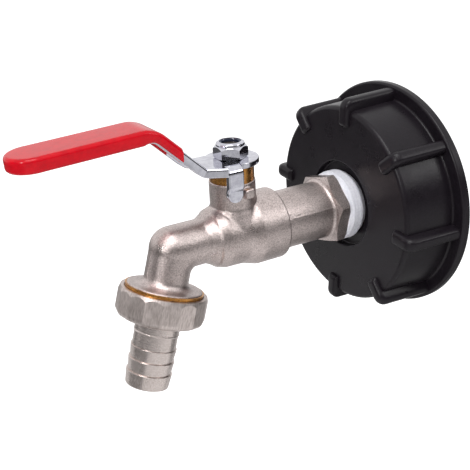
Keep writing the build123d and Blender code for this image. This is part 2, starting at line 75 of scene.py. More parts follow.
def shift_by(along: float, across: float = 0.0, up: float = 0.0) -> np.ndarray:
    """Translation matrix in millimetres.

    Args:
        along: Distance along X.
        across: Distance along Y.
        up: Distance along Z.

    Returns:
        A 4 by 4 array.
    """
    return np.array(Matrix.Translation((along, across, up)))


CAP = np.eye(4)
VALVE = shift_by(STEM_X)
UPRIGHT = VALVE @ turn_about("Y", -90)
SPOUT = (VALVE @ shift_by(-SPOUT_OFFSET) @ turn_about("Y", 90 + SPOUT_TILT)
         @ turn_about("Z", -SPOUT_LEAN))


class Coordinates(Enum):
    """What a finish's pattern is laid out on, in millimetres."""

    SOLID = "Object"
    SURFACE = "UV"


def linear(colour: str) -> tuple[float, float, float, float]:
    """Turns an sRGB hex colour to linear light.

    Args:
        colour: Six hex digits after a hash sign.

    Returns:
        Red, green, blue and an alpha of one.
    """
    values = [int(colour[i:i + 2], 16) / 255 for i in (1, 3, 5)]
    red, green, blue = (
        v / 12.92 if v <= 0.04045 else ((v + 0.055) / 1.055) ** 2.4 for v in values)
    return red, green, blue, 1.0


def add_node(tree: bpy.types.NodeTree, kind: str, settings: dict | None = None,
             links: dict | None = None) -> bpy.types.Node:
    """Adds one node with its settings and links.

    Args:
        tree: The node tree that it goes into.
        kind: The node's type name.
        settings: Values by socket name, socket number or property name.
        links: Output sockets by the name or number of the input that they feed.

    Returns:
        The new node.
    """
    node = tree.nodes.new(kind)
    for key, value in (settings or {}).items():
        if isinstance(key, int) or key in node.inputs:
            node.inputs[key].default_value = value
        else:
            setattr(node, key, value)
    for key, output in (links or {}).items():
        tree.links.new(output, node.inputs[key])
    return node


def empty_tree(owner: bpy.types.Material | bpy.types.World) -> bpy.types.NodeTree:
    """Turns an owner's nodes on and removes the ones that come with it.

    Args:
        owner: A material or world.

    Returns:
        Its empty node tree.
    """
    owner.use_nodes = True
    owner.node_tree.nodes.clear()
    return owner.node_tree


def add_object(name: str, data: bpy.types.ID) -> bpy.types.Object:
    """Puts a mesh, a lamp or a camera into the scene, at the origin.

    Args:
        name: The object's name.
        data: What it shows.

    Returns:
        The object.
    """
    made = bpy.data.objects.new(name, data)
    bpy.context.scene.collection.objects.link(made)
    return made


@dataclass(frozen=True)
class Finish:
    """A real surface: what it is made of, how it was made and what that gives the eye."""

    name: str
    slot: str
    colour: str
    dark: str
    metallic: float
    roughness: float
    roughness_spread: float
    grain_mm: float
    grain_height_mm: float
    patch_mm: float
    ring_mm: float = 0.0
    ring_height_mm: float = 0.0
    coat: float = 0.0
    coat_roughness: float = 0.1
    subsurface: float = 0.0
    specular: float = 0.5
    coordinates: Coordinates = Coordinates.SOLID
    stretch: float = 1.0

    def material(self) -> bpy.types.Material:
        """Builds the material once and hands out the same one afterwards.

        The light colour shows where broad patches and fine grain are both high, and the dark
        one lies in the grain's pits. The patches also vary the roughness, and the grain
        raises the surface.

        Returns:
            The material with its node tree.
        """
        made = bpy.data.materials.get(self.name)
        if made:
            return made
        made = bpy.data.materials.new(self.name)
        tree = empty_tree(made)
        place = add_node(tree, "ShaderNodeTexCoord")
        scale = 1 / MM if self.coordinates is Coordinates.SOLID else 1.0
        spot = add_node(tree, "ShaderNodeMapping", {
            "Scale": (scale, scale / self.stretch, scale),
        }, {"Vector": place.outputs[self.coordinates.value]})
        grain = add_node(tree, "ShaderNodeTexNoise", {
            "Scale": 1 / self.grain_mm, "Detail": 3.0, "Roughness": 0.62,
        }, {"Vector": spot.outputs["Vector"]})
        patch = add_node(tree, "ShaderNodeTexNoise", {
            "Scale": 1 / self.patch_mm, "Detail": 4.0, "Roughness": 0.55,
        }, {"Vector": spot.outputs["Vector"]})
        pits = add_node(tree, "ShaderNodeMapRange", {
            "From Min": 0.36, "From Max": 0.6, "To Min": 0.0, "To Max": 0.6,
        }, {"Value": grain.outputs["Fac"]})
        blend = add_node(tree, "ShaderNodeMath", {
            "operation": "MULTIPLY_ADD", "use_clamp": True, 1: 0.6,
        }, {0: patch.outputs["Fac"], 2: pits.outputs["Result"]})
        tone = add_node(tree, "ShaderNodeMix", {
            "data_type": "RGBA", 6: linear(self.dark), 7: linear(self.colour),
        }, {0: blend.outputs["Value"]})
        rough = add_node(tree, "ShaderNodeMapRange", {
            "From Min": 0.3, "From Max": 0.7,
            "To Min": self.roughness - self.roughness_spread,
            "To Max": self.roughness + self.roughness_spread,
        }, {"Value": patch.outputs["Fac"]})
        bump = add_node(tree, "ShaderNodeBump", {
            "Strength": 1.0, "Distance": self.grain_height_mm * MM,
        }, {"Height": grain.outputs["Fac"]})
        normal = bump.outputs["Normal"]
        if self.ring_mm:
            normal = self._rings(tree, place, normal)
        shader = add_node(tree, "ShaderNodeBsdfPrincipled", {
            "Metallic": self.metallic, "Specular IOR Level": self.specular,
            "Coat Weight": self.coat, "Coat Roughness": self.coat_roughness,
            "Subsurface Weight": self.subsurface,
            "Subsurface Radius": (1.0, 0.9, 0.9), "Subsurface Scale": MM,
        }, {
            "Base Color": tone.outputs[2], "Roughness": rough.outputs["Result"],
            "Normal": normal,
        })
        add_node(tree, "ShaderNodeOutputMaterial", links={"Surface": shader.outputs["BSDF"]})
        return made

    def _rings(self, tree: bpy.types.NodeTree, place: bpy.types.Node,
               normal: bpy.types.NodeSocket) -> bpy.types.NodeSocket:
        """Adds fine lines across the second surface coordinate, as a lathe tool leaves.

        Args:
            tree: The material's node tree.
            place: Its texture coordinate node.
            normal: The normal so far.

        Returns:
            The normal with the lines on it.
        """
        parts = add_node(tree, "ShaderNodeSeparateXYZ", links={0: place.outputs["UV"]})
        lines = add_node(tree, "ShaderNodeTexNoise", {
            "noise_dimensions": "1D", "Scale": 1 / self.ring_mm, "Detail": 2.0,
        }, {"W": parts.outputs["Y"]})
        return add_node(tree, "ShaderNodeBump", {
            "Strength": 1.0, "Distance": self.ring_height_mm * MM,
        }, {"Height": lines.outputs["Fac"], "Normal": normal}).outputs["Normal"]


# Nickel over sand-blasted forged brass: a warm satin grey that sparkles in fine grains.
PLATED_FORGING = Finish(
    name="nickel_plated_forged_brass", slot="plated_brass", colour="#DBCECB", dark="#887B77",
    metallic=1.0, roughness=0.31, roughness_spread=0.04, grain_mm=0.4, grain_height_mm=0.11,
    patch_mm=6.0)
# The same plate over a die-cast skin, whose marks run down the facets.
PLATED_UNION = Finish(
    name="nickel_plated_cast_nut", slot="plated_brass", colour="#DBD0CC", dark="#A89B96",
    metallic=1.0, roughness=0.4, roughness_spread=0.05, grain_mm=0.5, grain_height_mm=0.02,
    patch_mm=1.8, coordinates=Coordinates.SURFACE, stretch=5.0)
# Nickel over turned brass: satin, with fine rings from the lathe.
PLATED_TURNED = Finish(
    name="nickel_plated_turned_brass", slot="plated_brass", colour="#DED3CF", dark="#B3A8A2",
    metallic=1.0, roughness=0.26, roughness_spread=0.04, grain_mm=0.3, grain_height_mm=0.012,
    patch_mm=6.0, ring_mm=0.35, ring_height_mm=0.03)
# Brass that the plating left bare: golden, brown where it is shaded.
BARE_BRASS = Finish(
    name="bare_turned_brass", slot="bare_brass", colour="#D69C56", dark="#8A5A2C",
    metallic=1.0, roughness=0.27, roughness_spread=0.06, grain_mm=0.5, grain_height_mm=0.02,
    patch_mm=2.5, ring_mm=0.3, ring_height_mm=0.02)
# Stem brass painted dark for the shade deep inside the nut's hole.
STEM_BRASS_PAINTED_SHADE = Finish(
    name="stem_brass_painted_shade", slot="bare_brass", colour="#4C423C", dark="#2A2422",
    metallic=1.0, roughness=0.4, roughness_spread=0.05, grain_mm=0.5, grain_height_mm=0.02,
    patch_mm=2.5)
# Polished steel with bright nickel: hard reflections in light and dark bands.
BRIGHT_PLATE = Finish(
    name="bright_nickel_plated_steel", slot="polished_steel", colour="#D6D6DE", dark="#B4B3BE",
    metallic=1.0, roughness=0.085, roughness_spread=0.02, grain_mm=2.5, grain_height_mm=0.003,
    patch_mm=8.0)
# Polypropylene from a spark-eroded mould: nearly black with a soft grey sheen.
MOULDED_POLYPROPYLENE = Finish(
    name="moulded_black_polypropylene", slot="cap_plastic", colour="#1E191F", dark="#141115",
    metallic=0.0, roughness=0.31, roughness_spread=0.05, grain_mm=0.6, grain_height_mm=0.025,
    patch_mm=9.0, specular=0.22)
# Vinyl dipped while hot: saturated red under a smooth wet gloss.
DIPPED_VINYL = Finish(
    name="dipped_red_vinyl", slot="sleeve_vinyl", colour="#D4071C", dark="#BE0419",
    metallic=0.0, roughness=0.2, roughness_spread=0.04, grain_mm=2.6, grain_height_mm=0.02,
    patch_mm=12.0, coat=0.1, coat_roughness=0.08, specular=0.2)
# Wound tape of soft white film: matt, faintly lilac, with a trace of each turn.
THREAD_TAPE = Finish(
    name="wound_thread_tape", slot="tape", colour="#F2F2F9", dark="#E0DFEA",
    metallic=0.0, roughness=0.55, roughness_spread=0.05, grain_mm=0.8, grain_height_mm=0.04,
    patch_mm=2.2, subsurface=0.15)
# Rubber: deep matt grey.
MOULDED_RUBBER = Finish(
    name="moulded_black_rubber", slot="seal_rubber", colour="#242325", dark="#171618",
    metallic=0.0, roughness=0.62, roughness_spread=0.06, grain_mm=0.5, grain_height_mm=0.02,
    patch_mm=5.0)
# White plastic for the seats and the washer: plain and slightly glossy.
WHITE_PLASTIC = Finish(
    name="white_seat_plastic", slot="seat_plastic", colour="#E4E3DF", dark="#CFCDC8",
    metallic=0.0, roughness=0.4, roughness_spread=0.04, grain_mm=0.9, grain_height_mm=0.01,
    patch_mm=4.0)
# Blue nylon of the locking ring, painted nearly black for the shade in the nut's mouth.
BLUE_NYLON_PAINTED_SHADE = Finish(
    name="locking_nylon_painted_shade", slot="seat_plastic", colour="#2C3348", dark="#1D2232",
    metallic=0.0, roughness=0.35, roughness_spread=0.04, grain_mm=0.9, grain_height_mm=0.01,
    patch_mm=4.0)


def arc(start: np.ndarray, end: np.ndarray, sweep: float, share: np.ndarray) -> np.ndarray:
    """Points on an arc between two arrows from its middle.

    Each point is the first arrow times the sine of the angle still to go plus the last one
    times the sine of the angle gone, over the sine of the whole angle.

    Args:
        start: Arrow to the first point.
        end: Arrow to the last point.
        sweep: Angle between them, in radians.
        share: How far round each point is, from 0 to 1, as a column.

    Returns:
        One arrow for each share.
    """
    return (np.sin((1 - share) * sweep) * start + np.sin(share * sweep) * end) / math.sin(sweep)


def distances(line: np.ndarray) -> np.ndarray:
    """Distance along a line to each of its points, from 0 at the first."""
    return np.concatenate([[0], np.cumsum(np.linalg.norm(np.diff(line, axis=0), axis=1))])


def divisions(line: np.ndarray, count: int) -> np.ndarray:
    """Distances to a line's own points and to a count of even ones, in order."""
    own = distances(line)
    return np.unique(np.concatenate([own, np.linspace(0, own[-1], count)]))


def points_at(line: np.ndarray, places: np.ndarray) -> np.ndarray:
    """Points of a flat line at these distances along it."""
    own = distances(line)
    return np.stack([np.interp(places, own, line[:, axis]) for axis in (0, 1)], axis=1)


def signed_power(values: np.ndarray, power: float) -> np.ndarray:
    """A power that keeps each value's sign, which turns a circle's waves into an oblong's."""
    return np.sign(values) * np.abs(values) ** power


def rounded_line(corners: list[Corner], closed: bool = True,
                 step: float = ARC_STEP) -> np.ndarray:
    """Line through corners, each with its own rounding.

    A rounded corner is an arc that touches both of its sides: its middle lies on the line that
    halves the corner, as far out as makes the arc's radius the rounding.

    Args:
        corners: (along, radius, rounding) for each corner.
        closed: Whether the last corner joins the first.
        step: Largest angle in degrees between neighbouring points of an arc.

    Returns:
        An array of (along, radius) rows.
    """
    pieces = []
    last = len(corners) - 1
    for index, (along, radius, rounding) in enumerate(corners):
        here = np.array((along, radius), float)
        if rounding <= 0 or (not closed and index in (0, last)):
            pieces.append(here[None])
            continue
        before = np.array(corners[index - 1][:2], float) - here
        after = np.array(corners[(index + 1) % len(corners)][:2], float) - here
        before /= np.linalg.norm(before)
        after /= np.linalg.norm(after)
        half = math.acos(max(-1.0, min(1.0, float(before @ after)))) / 2
        middle = here + (before + after) / np.linalg.norm(before + after) * (
            rounding / math.sin(half))
        start = here + before * rounding / math.tan(half) - middle
        end = here + after * rounding / math.tan(half) - middle
        sweep = math.pi - 2 * half
        share = np.linspace(0, 1, max(2, math.ceil(math.degrees(sweep) / step)) + 1)[:, None]
        pieces.append(middle + arc(start, end, sweep, share))
    return np.vstack(pieces)


def grid(x: np.ndarray, y: np.ndarray, z: np.ndarray) -> np.ndarray:
    """Points of a grid from their three parts, each as far as it changes.

    Args:
        x: Rows by columns, or one row, or one column.
        y: The same.
        z: The same.

    Returns:
        Rows by columns by three.
    """
    return np.stack(np.broadcast_arrays(x, y, z), axis=2)


def closed_section(corners: list[Corner], step: float) -> np.ndarray:
    """Rounded line whose last point repeats its first."""
    line = rounded_line(corners, step=step)
    return np.vstack([line, line[:1]])


@dataclass
class Patch:
    """A surface on a grid of rows and columns, with its own flat coordinates.

    Attributes:
        points: Rows by columns by three, in millimetres in the piece's own place.
    """

    points: np.ndarray

    def flat(self) -> np.ndarray:
        """Distance round from the first column and along from the first row, for each point."""
        round_step = np.linalg.norm(np.diff(self.points, axis=1), axis=2).mean(0)
        along_step = np.linalg.norm(np.diff(self.points, axis=0), axis=2).mean(1)
        round_way = np.concatenate([[0], np.cumsum(round_step)])
        along_way = np.concatenate([[0], np.cumsum(along_step)])
        flat = np.broadcast_arrays(round_way[None, :], along_way[:, None])
        return np.stack(flat, axis=2).reshape(-1, 2)

    def quads(self, start: int = 0) -> np.ndarray:
        """Faces of the grid.

        Args:
            start: Number of its first point.

        Returns:
            Four corner numbers for each face.
        """
        rows, columns = self.points.shape[:2]
        index = start + np.arange(rows * columns).reshape(rows, columns)
        return np.stack([
            index[:-1, :-1], index[1:, :-1], index[1:, 1:], index[:-1, 1:]], axis=2,
        ).reshape(-1, 4)

    def placed(self, place: np.ndarray) -> np.ndarray:
        """Its points in the part's frame.

        Args:
            place: 4 by 4 matrix from the patch's millimetres to the part's millimetres.

        Returns:
            Points by three, in metres.
        """
        return (self.points.reshape(-1, 3) @ place[:3, :3].T + place[:3, 3]) * MM


def capped(points: np.ndarray) -> Patch:
    """Tube closed at both ends, each towards the middle of its last ring.

    Args:
        points: Rings by points in a ring by three.

    Returns:
        The patch, one row longer at either end.
    """
    ends = [np.repeat(points[i:i + 1].mean(1, keepdims=True), points.shape[1], axis=1)
            for i in (0, -1)]
    return Patch(np.concatenate([ends[0], points, ends[1]]))


def turned(along: np.ndarray, radius: np.ndarray, angles: np.ndarray) -> Patch:
    """Surface turned round the X axis, which may swell with the angle.

    A point is (along, -radius times the cosine, radius times the sine of the angle), so the
    angle runs from the near side, -Y, up towards +Z.

    Args:
        along: Rows by one or rows by columns, in millimetres.
        radius: Rows by one or rows by columns, in millimetres.
        angles: One angle for each column, in radians.

    Returns:
        The patch.
    """
    return Patch(grid(along, -radius * np.cos(angles), radius * np.sin(angles)))


def turned_rows(rows: list[tuple], angles: np.ndarray, base: float = 0.0) -> Patch:
    """Surface turned round the X axis from rows of which each may change with the angle.

    Args:
        rows: (along, radius), each one number or one for each angle.
        angles: One angle for each column, in radians.
        base: Added to the distances along.

    Returns:
        The patch.
    """
    along, radius = (
        np.stack([np.broadcast_to(row[part], angles.shape) for row in rows]) for part in (0, 1))
    return turned(base + along, radius, angles)


def turned_line(corners: list[Corner], segments: int = 96) -> Patch:
    """Closed ring or solid turned from rounded corners, closed where both ends meet the axis.

    Args:
        corners: (along, radius, rounding) for each corner.
        segments: Columns in a full turn.

    Returns:
        The patch.
    """
    line = closed_section(corners, ARC_STEP)
    angles = np.linspace(0, TAU, segments + 1)
    return turned(line[:, :1], line[:, 1:], angles)


def turned_ball(radius: float, steps: int, segments: int) -> Patch:
    """Ball about the origin, turned from half a circle.

    Args:
        radius: Its radius in millimetres.
        steps: Points on the half circle.
        segments: Columns in a full turn.

    Returns:
        The patch.
    """
    half_turn = np.linspace(0, math.pi, steps)[1:-1]
    middle = [(-radius * math.cos(angle), radius * math.sin(angle), 0) for angle in half_turn]
    return turned_line([(-radius, 0, 0), *middle, (radius, 0, 0)], segments)


def make_piece(name: str, patches: list[Patch], place: np.ndarray, finish: Finish, body: str,
               stands_for: tuple[str, ...] = (), sharp: float = 32.0) -> bpy.types.Object:
    """Makes one visible piece from its patches.

    Args:
        name: The piece's name.
        patches: Its surfaces, each closed by its own seams and poles.
        place: 4 by 4 matrix from the patches' millimetres to the part's millimetres.
        finish: Its finish.
        body: The moving body that it rides on.
        stands_for: Names of the nodes that it is shown instead of.
        sharp: Angle in degrees above which an edge stays sharp.

    Returns:
        The object, at the origin.
    """
    vertices, faces, flat, start = [], [], [], 0
    for patch in patches:
        faces.append(patch.quads(start))
        vertices.append(patch.placed(place))
        flat.append(patch.flat())
        start += len(vertices[-1])
    corners = np.concatenate(faces)
    mesh = bpy.data.meshes.new(name)
    mesh.from_pydata(np.concatenate(vertices), [], corners.tolist())
    layer = mesh.uv_layers.new(name="surface")
    spread = np.concatenate(flat)[corners.ravel()].astype(np.float32)
    layer.data.foreach_set("uv", spread.ravel())
    close_seams(mesh)
    mesh.shade_smooth()
    mesh.set_sharp_from_angle(angle=math.radians(sharp))
    piece = add_object(name, mesh)
    weighted = piece.modifiers.new("even_normals", "WEIGHTED_NORMAL")
    weighted.keep_sharp = True
    dress(piece, finish, body, stands_for)
    return piece


def close_seams(mesh: bpy.types.Mesh) -> None:
    """Merges a mesh's seams and poles and turns its faces outwards.

    Args:
        mesh: The mesh, changed in place.
    """
    work = bmesh.new()
    work.from_mesh(mesh)
    bmesh.ops.remove_doubles(work, verts=work.verts, dist=WELD)
    bmesh.ops.recalc_face_normals(work, faces=work.faces)
    work.to_mesh(mesh)
    work.free()


def dress(piece: bpy.types.Object, finish: Finish, body: str,
          stands_for: tuple[str, ...] = ()) -> None:
    """Gives a piece its finish, its body and the nodes that it is shown instead of.

    Args:
        piece: The object.
        finish: Its finish.
        body: The moving body that it rides on.
        stands_for: Names of the hidden nodes.
    """
    piece.data.materials.clear()
    piece.data.materials.append(finish.material())
    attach(piece, body)
    if stands_for:
        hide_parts(*stands_for)
    log.info("%s: %d faces, %s", piece.name, len(piece.data.polygons), finish.name)


def dress_node(node: str, finish: Finish) -> None:
    """Gives a node that stays in view its finish.

    Args:
        node: The node's name.
        finish: Its finish.
    """
    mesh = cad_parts[node].data
    mesh.materials.clear()
    mesh.materials.append(finish.material())
    log.info("%s: node kept, %s", node, finish.name)


def flats(angles: np.ndarray, count: int, flat_radius: float, first: float) -> np.ndarray:
    """Distance from the axis to a prism's side.

    The radius is the flat's own distance divided by the cosine of the angle from the middle of
    the nearest flat.

    Args:
        angles: Angles round the axis, in radians.
        count: How many flats.
        flat_radius: Axis to a flat, in millimetres.
        first: Angle of one corner, in radians.

    Returns:
        A radius for each angle.
    """
    pitch = TAU / count
    from_middle = np.mod(angles - first, pitch) - pitch / 2
    return flat_radius / np.cos(from_middle)


@dataclass
class TankCap:
    """Screw cap with its recess, tapped port, coarse thread, eight grip ribs and gasket."""

    depth: float = 22.8
    front_radius: float = 35.6
    rear_radius: float = 36.6
    wall: float = 4.2
    edge_radius: float = 1.6
    flange_radius: float = 41.3
    flange_thickness: float = 3.4
    thread_radius: float = 30.2
    thread_length: float = 12.2
    bore_radius: float = 29.2
    recess_radius: float = 15.8
    recess_depth: float = 2.8
    hub_radius: float = 16.48
    hub_length: float = 7.2
    port_radius: float = 10.48
    ridge_pitch: float = 6.0
    ridge_height: float = 1.5
    ridge_width: float = 0.8
    ridge_turns: float = 1.7
    ridge_start: float = 1.6
    ridge_fade: float = 0.5
    rib_count: int = 8
    rib_first: float = -5.5
    rib_width: float = 4.9
    rib_height: float = 3.8
    rib_face_height: float = 1.8
    rib_reach: float = 6.0
    rib_corner_radius: float = 3.4
    rib_root: float = 1.0
    rib_end_gap: float = 0.4
    rib_power: float = 0.6

    def build(self) -> None:
        """Makes the cap, its ribs and its thread, and dresses its gasket."""
        make_piece("cap_moulding", [self.shell()], CAP, MOULDED_POLYPROPYLENE, "valve",
                   ("tank_cap",))
        make_piece("cap_grip_ribs", self.ribs(), CAP, MOULDED_POLYPROPYLENE, "valve", sharp=50)
        make_piece("cap_thread", [self.thread()], CAP, MOULDED_POLYPROPYLENE, "valve", sharp=50)
        dress_node("cap_gasket", MOULDED_RUBBER)

    def shell(self) -> Patch:
        """Turned outline of the cap, from the recess over the rim and back through the mouth."""
        front_inside = -self.depth + self.wall
        port_start = -self.depth + self.recess_depth
        hub_end = port_start + self.hub_length
        return turned_line([
            (-self.depth, self.recess_radius, 0.5),
            (-self.depth, self.front_radius, self.edge_radius),
            (-self.flange_thickness, self.rear_radius, 0.8),
            (-self.flange_thickness, self.flange_radius, 0.9),
            (0, self.flange_radius, 0.9),
            (0, self.thread_radius, 0),
            (-self.thread_length, self.thread_radius, 0),
            (-self.thread_length, self.bore_radius, 0),
            (front_inside, self.bore_radius, 0),
            (front_inside, self.hub_radius, 0),
            (hub_end, self.hub_radius, 0.8),
            (hub_end, self.port_radius, 0.4),
            (port_start, self.port_radius, 0.4),
            (port_start, self.recess_radius, 0.6),
        ], segments=192)

    def ribs(self) -> list[Patch]:
        """Grip ribs: a rounded section carried along the side wall and over the front edge.

        The crest is a rounded line beside the cap's outline. Across the rib, a point lies
        between a root inside the cap and the crest by a power of the sine, and sideways by the
        same power of the cosine, which gives steep flanks under a rounded back.

        Returns:
            One patch for each rib.
        """
        front = -self.depth - self.rib_face_height
        tip = self.front_radius - self.rib_reach
        crest = rounded_line([
            (-self.flange_thickness / 2, self.rear_radius + self.rib_height, 0),
            (front, self.front_radius + self.rib_height, self.rib_corner_radius),
            (front, tip, self.rib_face_height * 0.8),
            (-self.depth + self.rib_root, tip, 0),
        ], closed=False)
        even = divisions(crest, 40)
        crest = points_at(crest, even)
        slope = (self.rear_radius - self.front_radius) / (self.depth - self.flange_thickness)
        wall = self.front_radius + slope * (crest[:, 0] + self.depth) - self.rib_root
        root = np.stack([
            np.maximum(crest[:, 0], -self.depth + self.rib_root),
            np.minimum(crest[:, 1], wall)], axis=1)
        left = np.clip((even[-1] - even - self.rib_end_gap) / (self.rib_width / 2), 0.0, 1.0)
        half = self.rib_width / 2 * np.sqrt(1 - (1 - left) ** 2)
        across = np.linspace(0, math.pi, 21)
        lift = np.abs(np.sin(across)) ** self.rib_power
        side = signed_power(np.cos(across), self.rib_power)
        spine = root[:, None] + (crest - root)[:, None] * lift[None, :, None]
        sideways = half[:, None] * side[None, :]
        # The section is closed underneath, and the first row is closed by its middle.
        closing = np.concatenate([spine, spine[:, :1]], axis=1)
        sideways = np.concatenate([sideways, sideways[:, :1]], axis=1)
        first = np.repeat(closing[:1].mean(1, keepdims=True), closing.shape[1], axis=1)
        closing = np.concatenate([first, closing])
        sideways = np.concatenate([np.zeros_like(sideways[:1]), sideways])
        patches = []
        for index in range(self.rib_count):
            angle = math.radians(self.rib_first + 360 / self.rib_count * index)
            outward = np.array((-math.cos(angle), math.sin(angle)))
            beside = np.array((math.sin(angle), math.cos(angle)))
            cross = closing[..., 1:] * outward + sideways[..., None] * beside
            points = np.concatenate([closing[..., :1], cross], axis=2)
            patches.append(Patch(points))
        return patches

    def thread(self) -> Patch:
        """Coarse thread ridge: a trapezoid carried along a helix and run out at both ends."""
        angles = np.linspace(0, TAU * self.ridge_turns, 240)
        along = -self.ridge_start - self.ridge_pitch * angles / TAU
        fade = np.clip(np.minimum(angles, angles[-1] - angles) / self.ridge_fade, 0.02, 1)
        root = 0.25
        section = np.array([(-1.7, root), (-0.6, -1.0), (0.6, -1.0), (1.7, root), (-1.7, root)])
        inward = np.where(section[None, :, 1] < 0, section[None, :, 1] * self.ridge_height, root)
        radius = self.thread_radius + inward * np.where(inward < 0, fade[:, None], 1.0)
        points = grid(along[:, None] + section[None, :, 0] * self.ridge_width,
                      -radius * np.cos(angles)[:, None], radius * np.sin(angles)[:, None])
        return capped(points)


@dataclass
class InletConnector:
    """Hexagon connector between the valve and the cap, with the tape on its thread."""

    body_front: float = 15.2
    neck_length: float = 19.8
    neck_radius: float = 10.2
    neck_flare: float = 1.2
    hex_length: float = 4.6
    hex_flat: float = 11.5
    hex_first: float = 15.0
    thread_radius: float = 10.4
    thread_showing: float = 7.6
    tip: float = 53.9
    hex_face_step: float = 0.3
    hex_front_cone: float = 1.1
    hex_rear_step: float = 0.9
    hex_rear_cone: float = 0.5
    line_angle: float = 20.0
    line_height: float = 0.09
    line_width: float = 0.03
    bore_radius: float = 6.5
    shank_radius: float = 9.2
    shank_start: float = 8.4
    tape_radius: float = 12.7
    tape_pitch: float = 1.3

    def build(self) -> None:
        """Makes the connector and the tape and dresses the ring in its groove."""
        make_piece("connector", [self.surface()], VALVE, PLATED_FORGING, "valve",
                   ("inlet_connector",))
        make_piece("thread_tape", [self.tape()], VALVE, THREAD_TAPE, "valve", ("ptfe_tape",),
                   sharp=60)
        dress_node("connector_o_ring", MOULDED_RUBBER)

    def surface(self) -> Patch:
        """Connector from bore to bore: shank, neck with its parting line, hexagon and thread.

        The hexagon's two ends are cones: each column's corner lies where the cone has grown to
        the prism's own radius at that angle.

        Returns:
            The patch.
        """
        angles = np.linspace(0, TAU, 6 * 36 + 1) + math.radians(self.hex_first)
        start = self.body_front + self.neck_length
        end = start + self.hex_length
        prism = flats(angles, 6, self.hex_flat, math.radians(self.hex_first))
        corner = self.hex_flat / math.cos(math.pi / 6)
        face = self.hex_flat - self.hex_face_step
        front_slope = (corner - face) / self.hex_front_cone
        rear_edge = corner - self.hex_rear_step
        rear_slope = self.hex_rear_step / self.hex_rear_cone
        off_line = np.mod(angles - math.radians(self.line_angle) + math.pi, TAU) - math.pi
        line = self.line_height * np.exp(-(off_line / self.line_width) ** 2)
        neck = self.neck_radius + line
        bend = np.linspace(0, math.pi / 2, 6)[1:]
        rows = [
            (self.shank_start, self.bore_radius), (self.shank_start, self.shank_radius),
            (self.body_front, self.shank_radius), (self.body_front, neck),
            (start - 12, neck), (start - 6, neck), (start - self.neck_flare, neck),
        ]
        for angle in bend:
            rows.append((start - self.neck_flare * (1 - math.sin(angle)),
                         neck + self.neck_flare * (1 - math.cos(angle))))
        rows += [
            (start, face), (start + (prism - face) / front_slope, prism),
            (end - np.clip(prism - rear_edge, 0, None) / rear_slope, prism),
            (end, np.minimum(prism, rear_edge)), (end, self.thread_radius),
            (self.tip - 0.8, self.thread_radius), (self.tip, self.thread_radius - 0.8),
            (self.tip, self.bore_radius), (self.shank_start, self.bore_radius),
        ]
        return turned_rows(rows, angles)

    def tape(self) -> Patch:
        """Tape: a bulging ring whose radius steps a little at each turn of the winding."""
        start = self.body_front + self.neck_length + self.hex_length
        end = start + self.thread_showing
        outline = closed_section([
            (start, self.thread_radius, 0), (start, self.tape_radius - 0.7, 0.8),
            (start + 1.6, self.tape_radius, 1.5), (end - 2.4, self.tape_radius, 1.5),
            (end, self.tape_radius - 1.4, 0.6), (end, self.thread_radius, 0),
        ], ARC_STEP)
        outline = points_at(outline, divisions(outline, 90))
        angles = np.linspace(0, TAU, 145)
        turn = np.mod((outline[:, :1] - start) / self.tape_pitch - angles[None, :] / TAU, 1.0)
        outside = np.clip((outline[:, 1:] - self.thread_radius) / 1.2, 0, 1)
        lumps = 0.08 * np.sin(3 * angles + 0.7) + 0.05 * np.sin(7 * angles + 2.0)
        radius = outline[:, 1:] - outside * (0.05 * turn ** 2 + 0.1 - lumps[None, :] * 0.7)
        return turned(outline[:, :1], radius, angles)


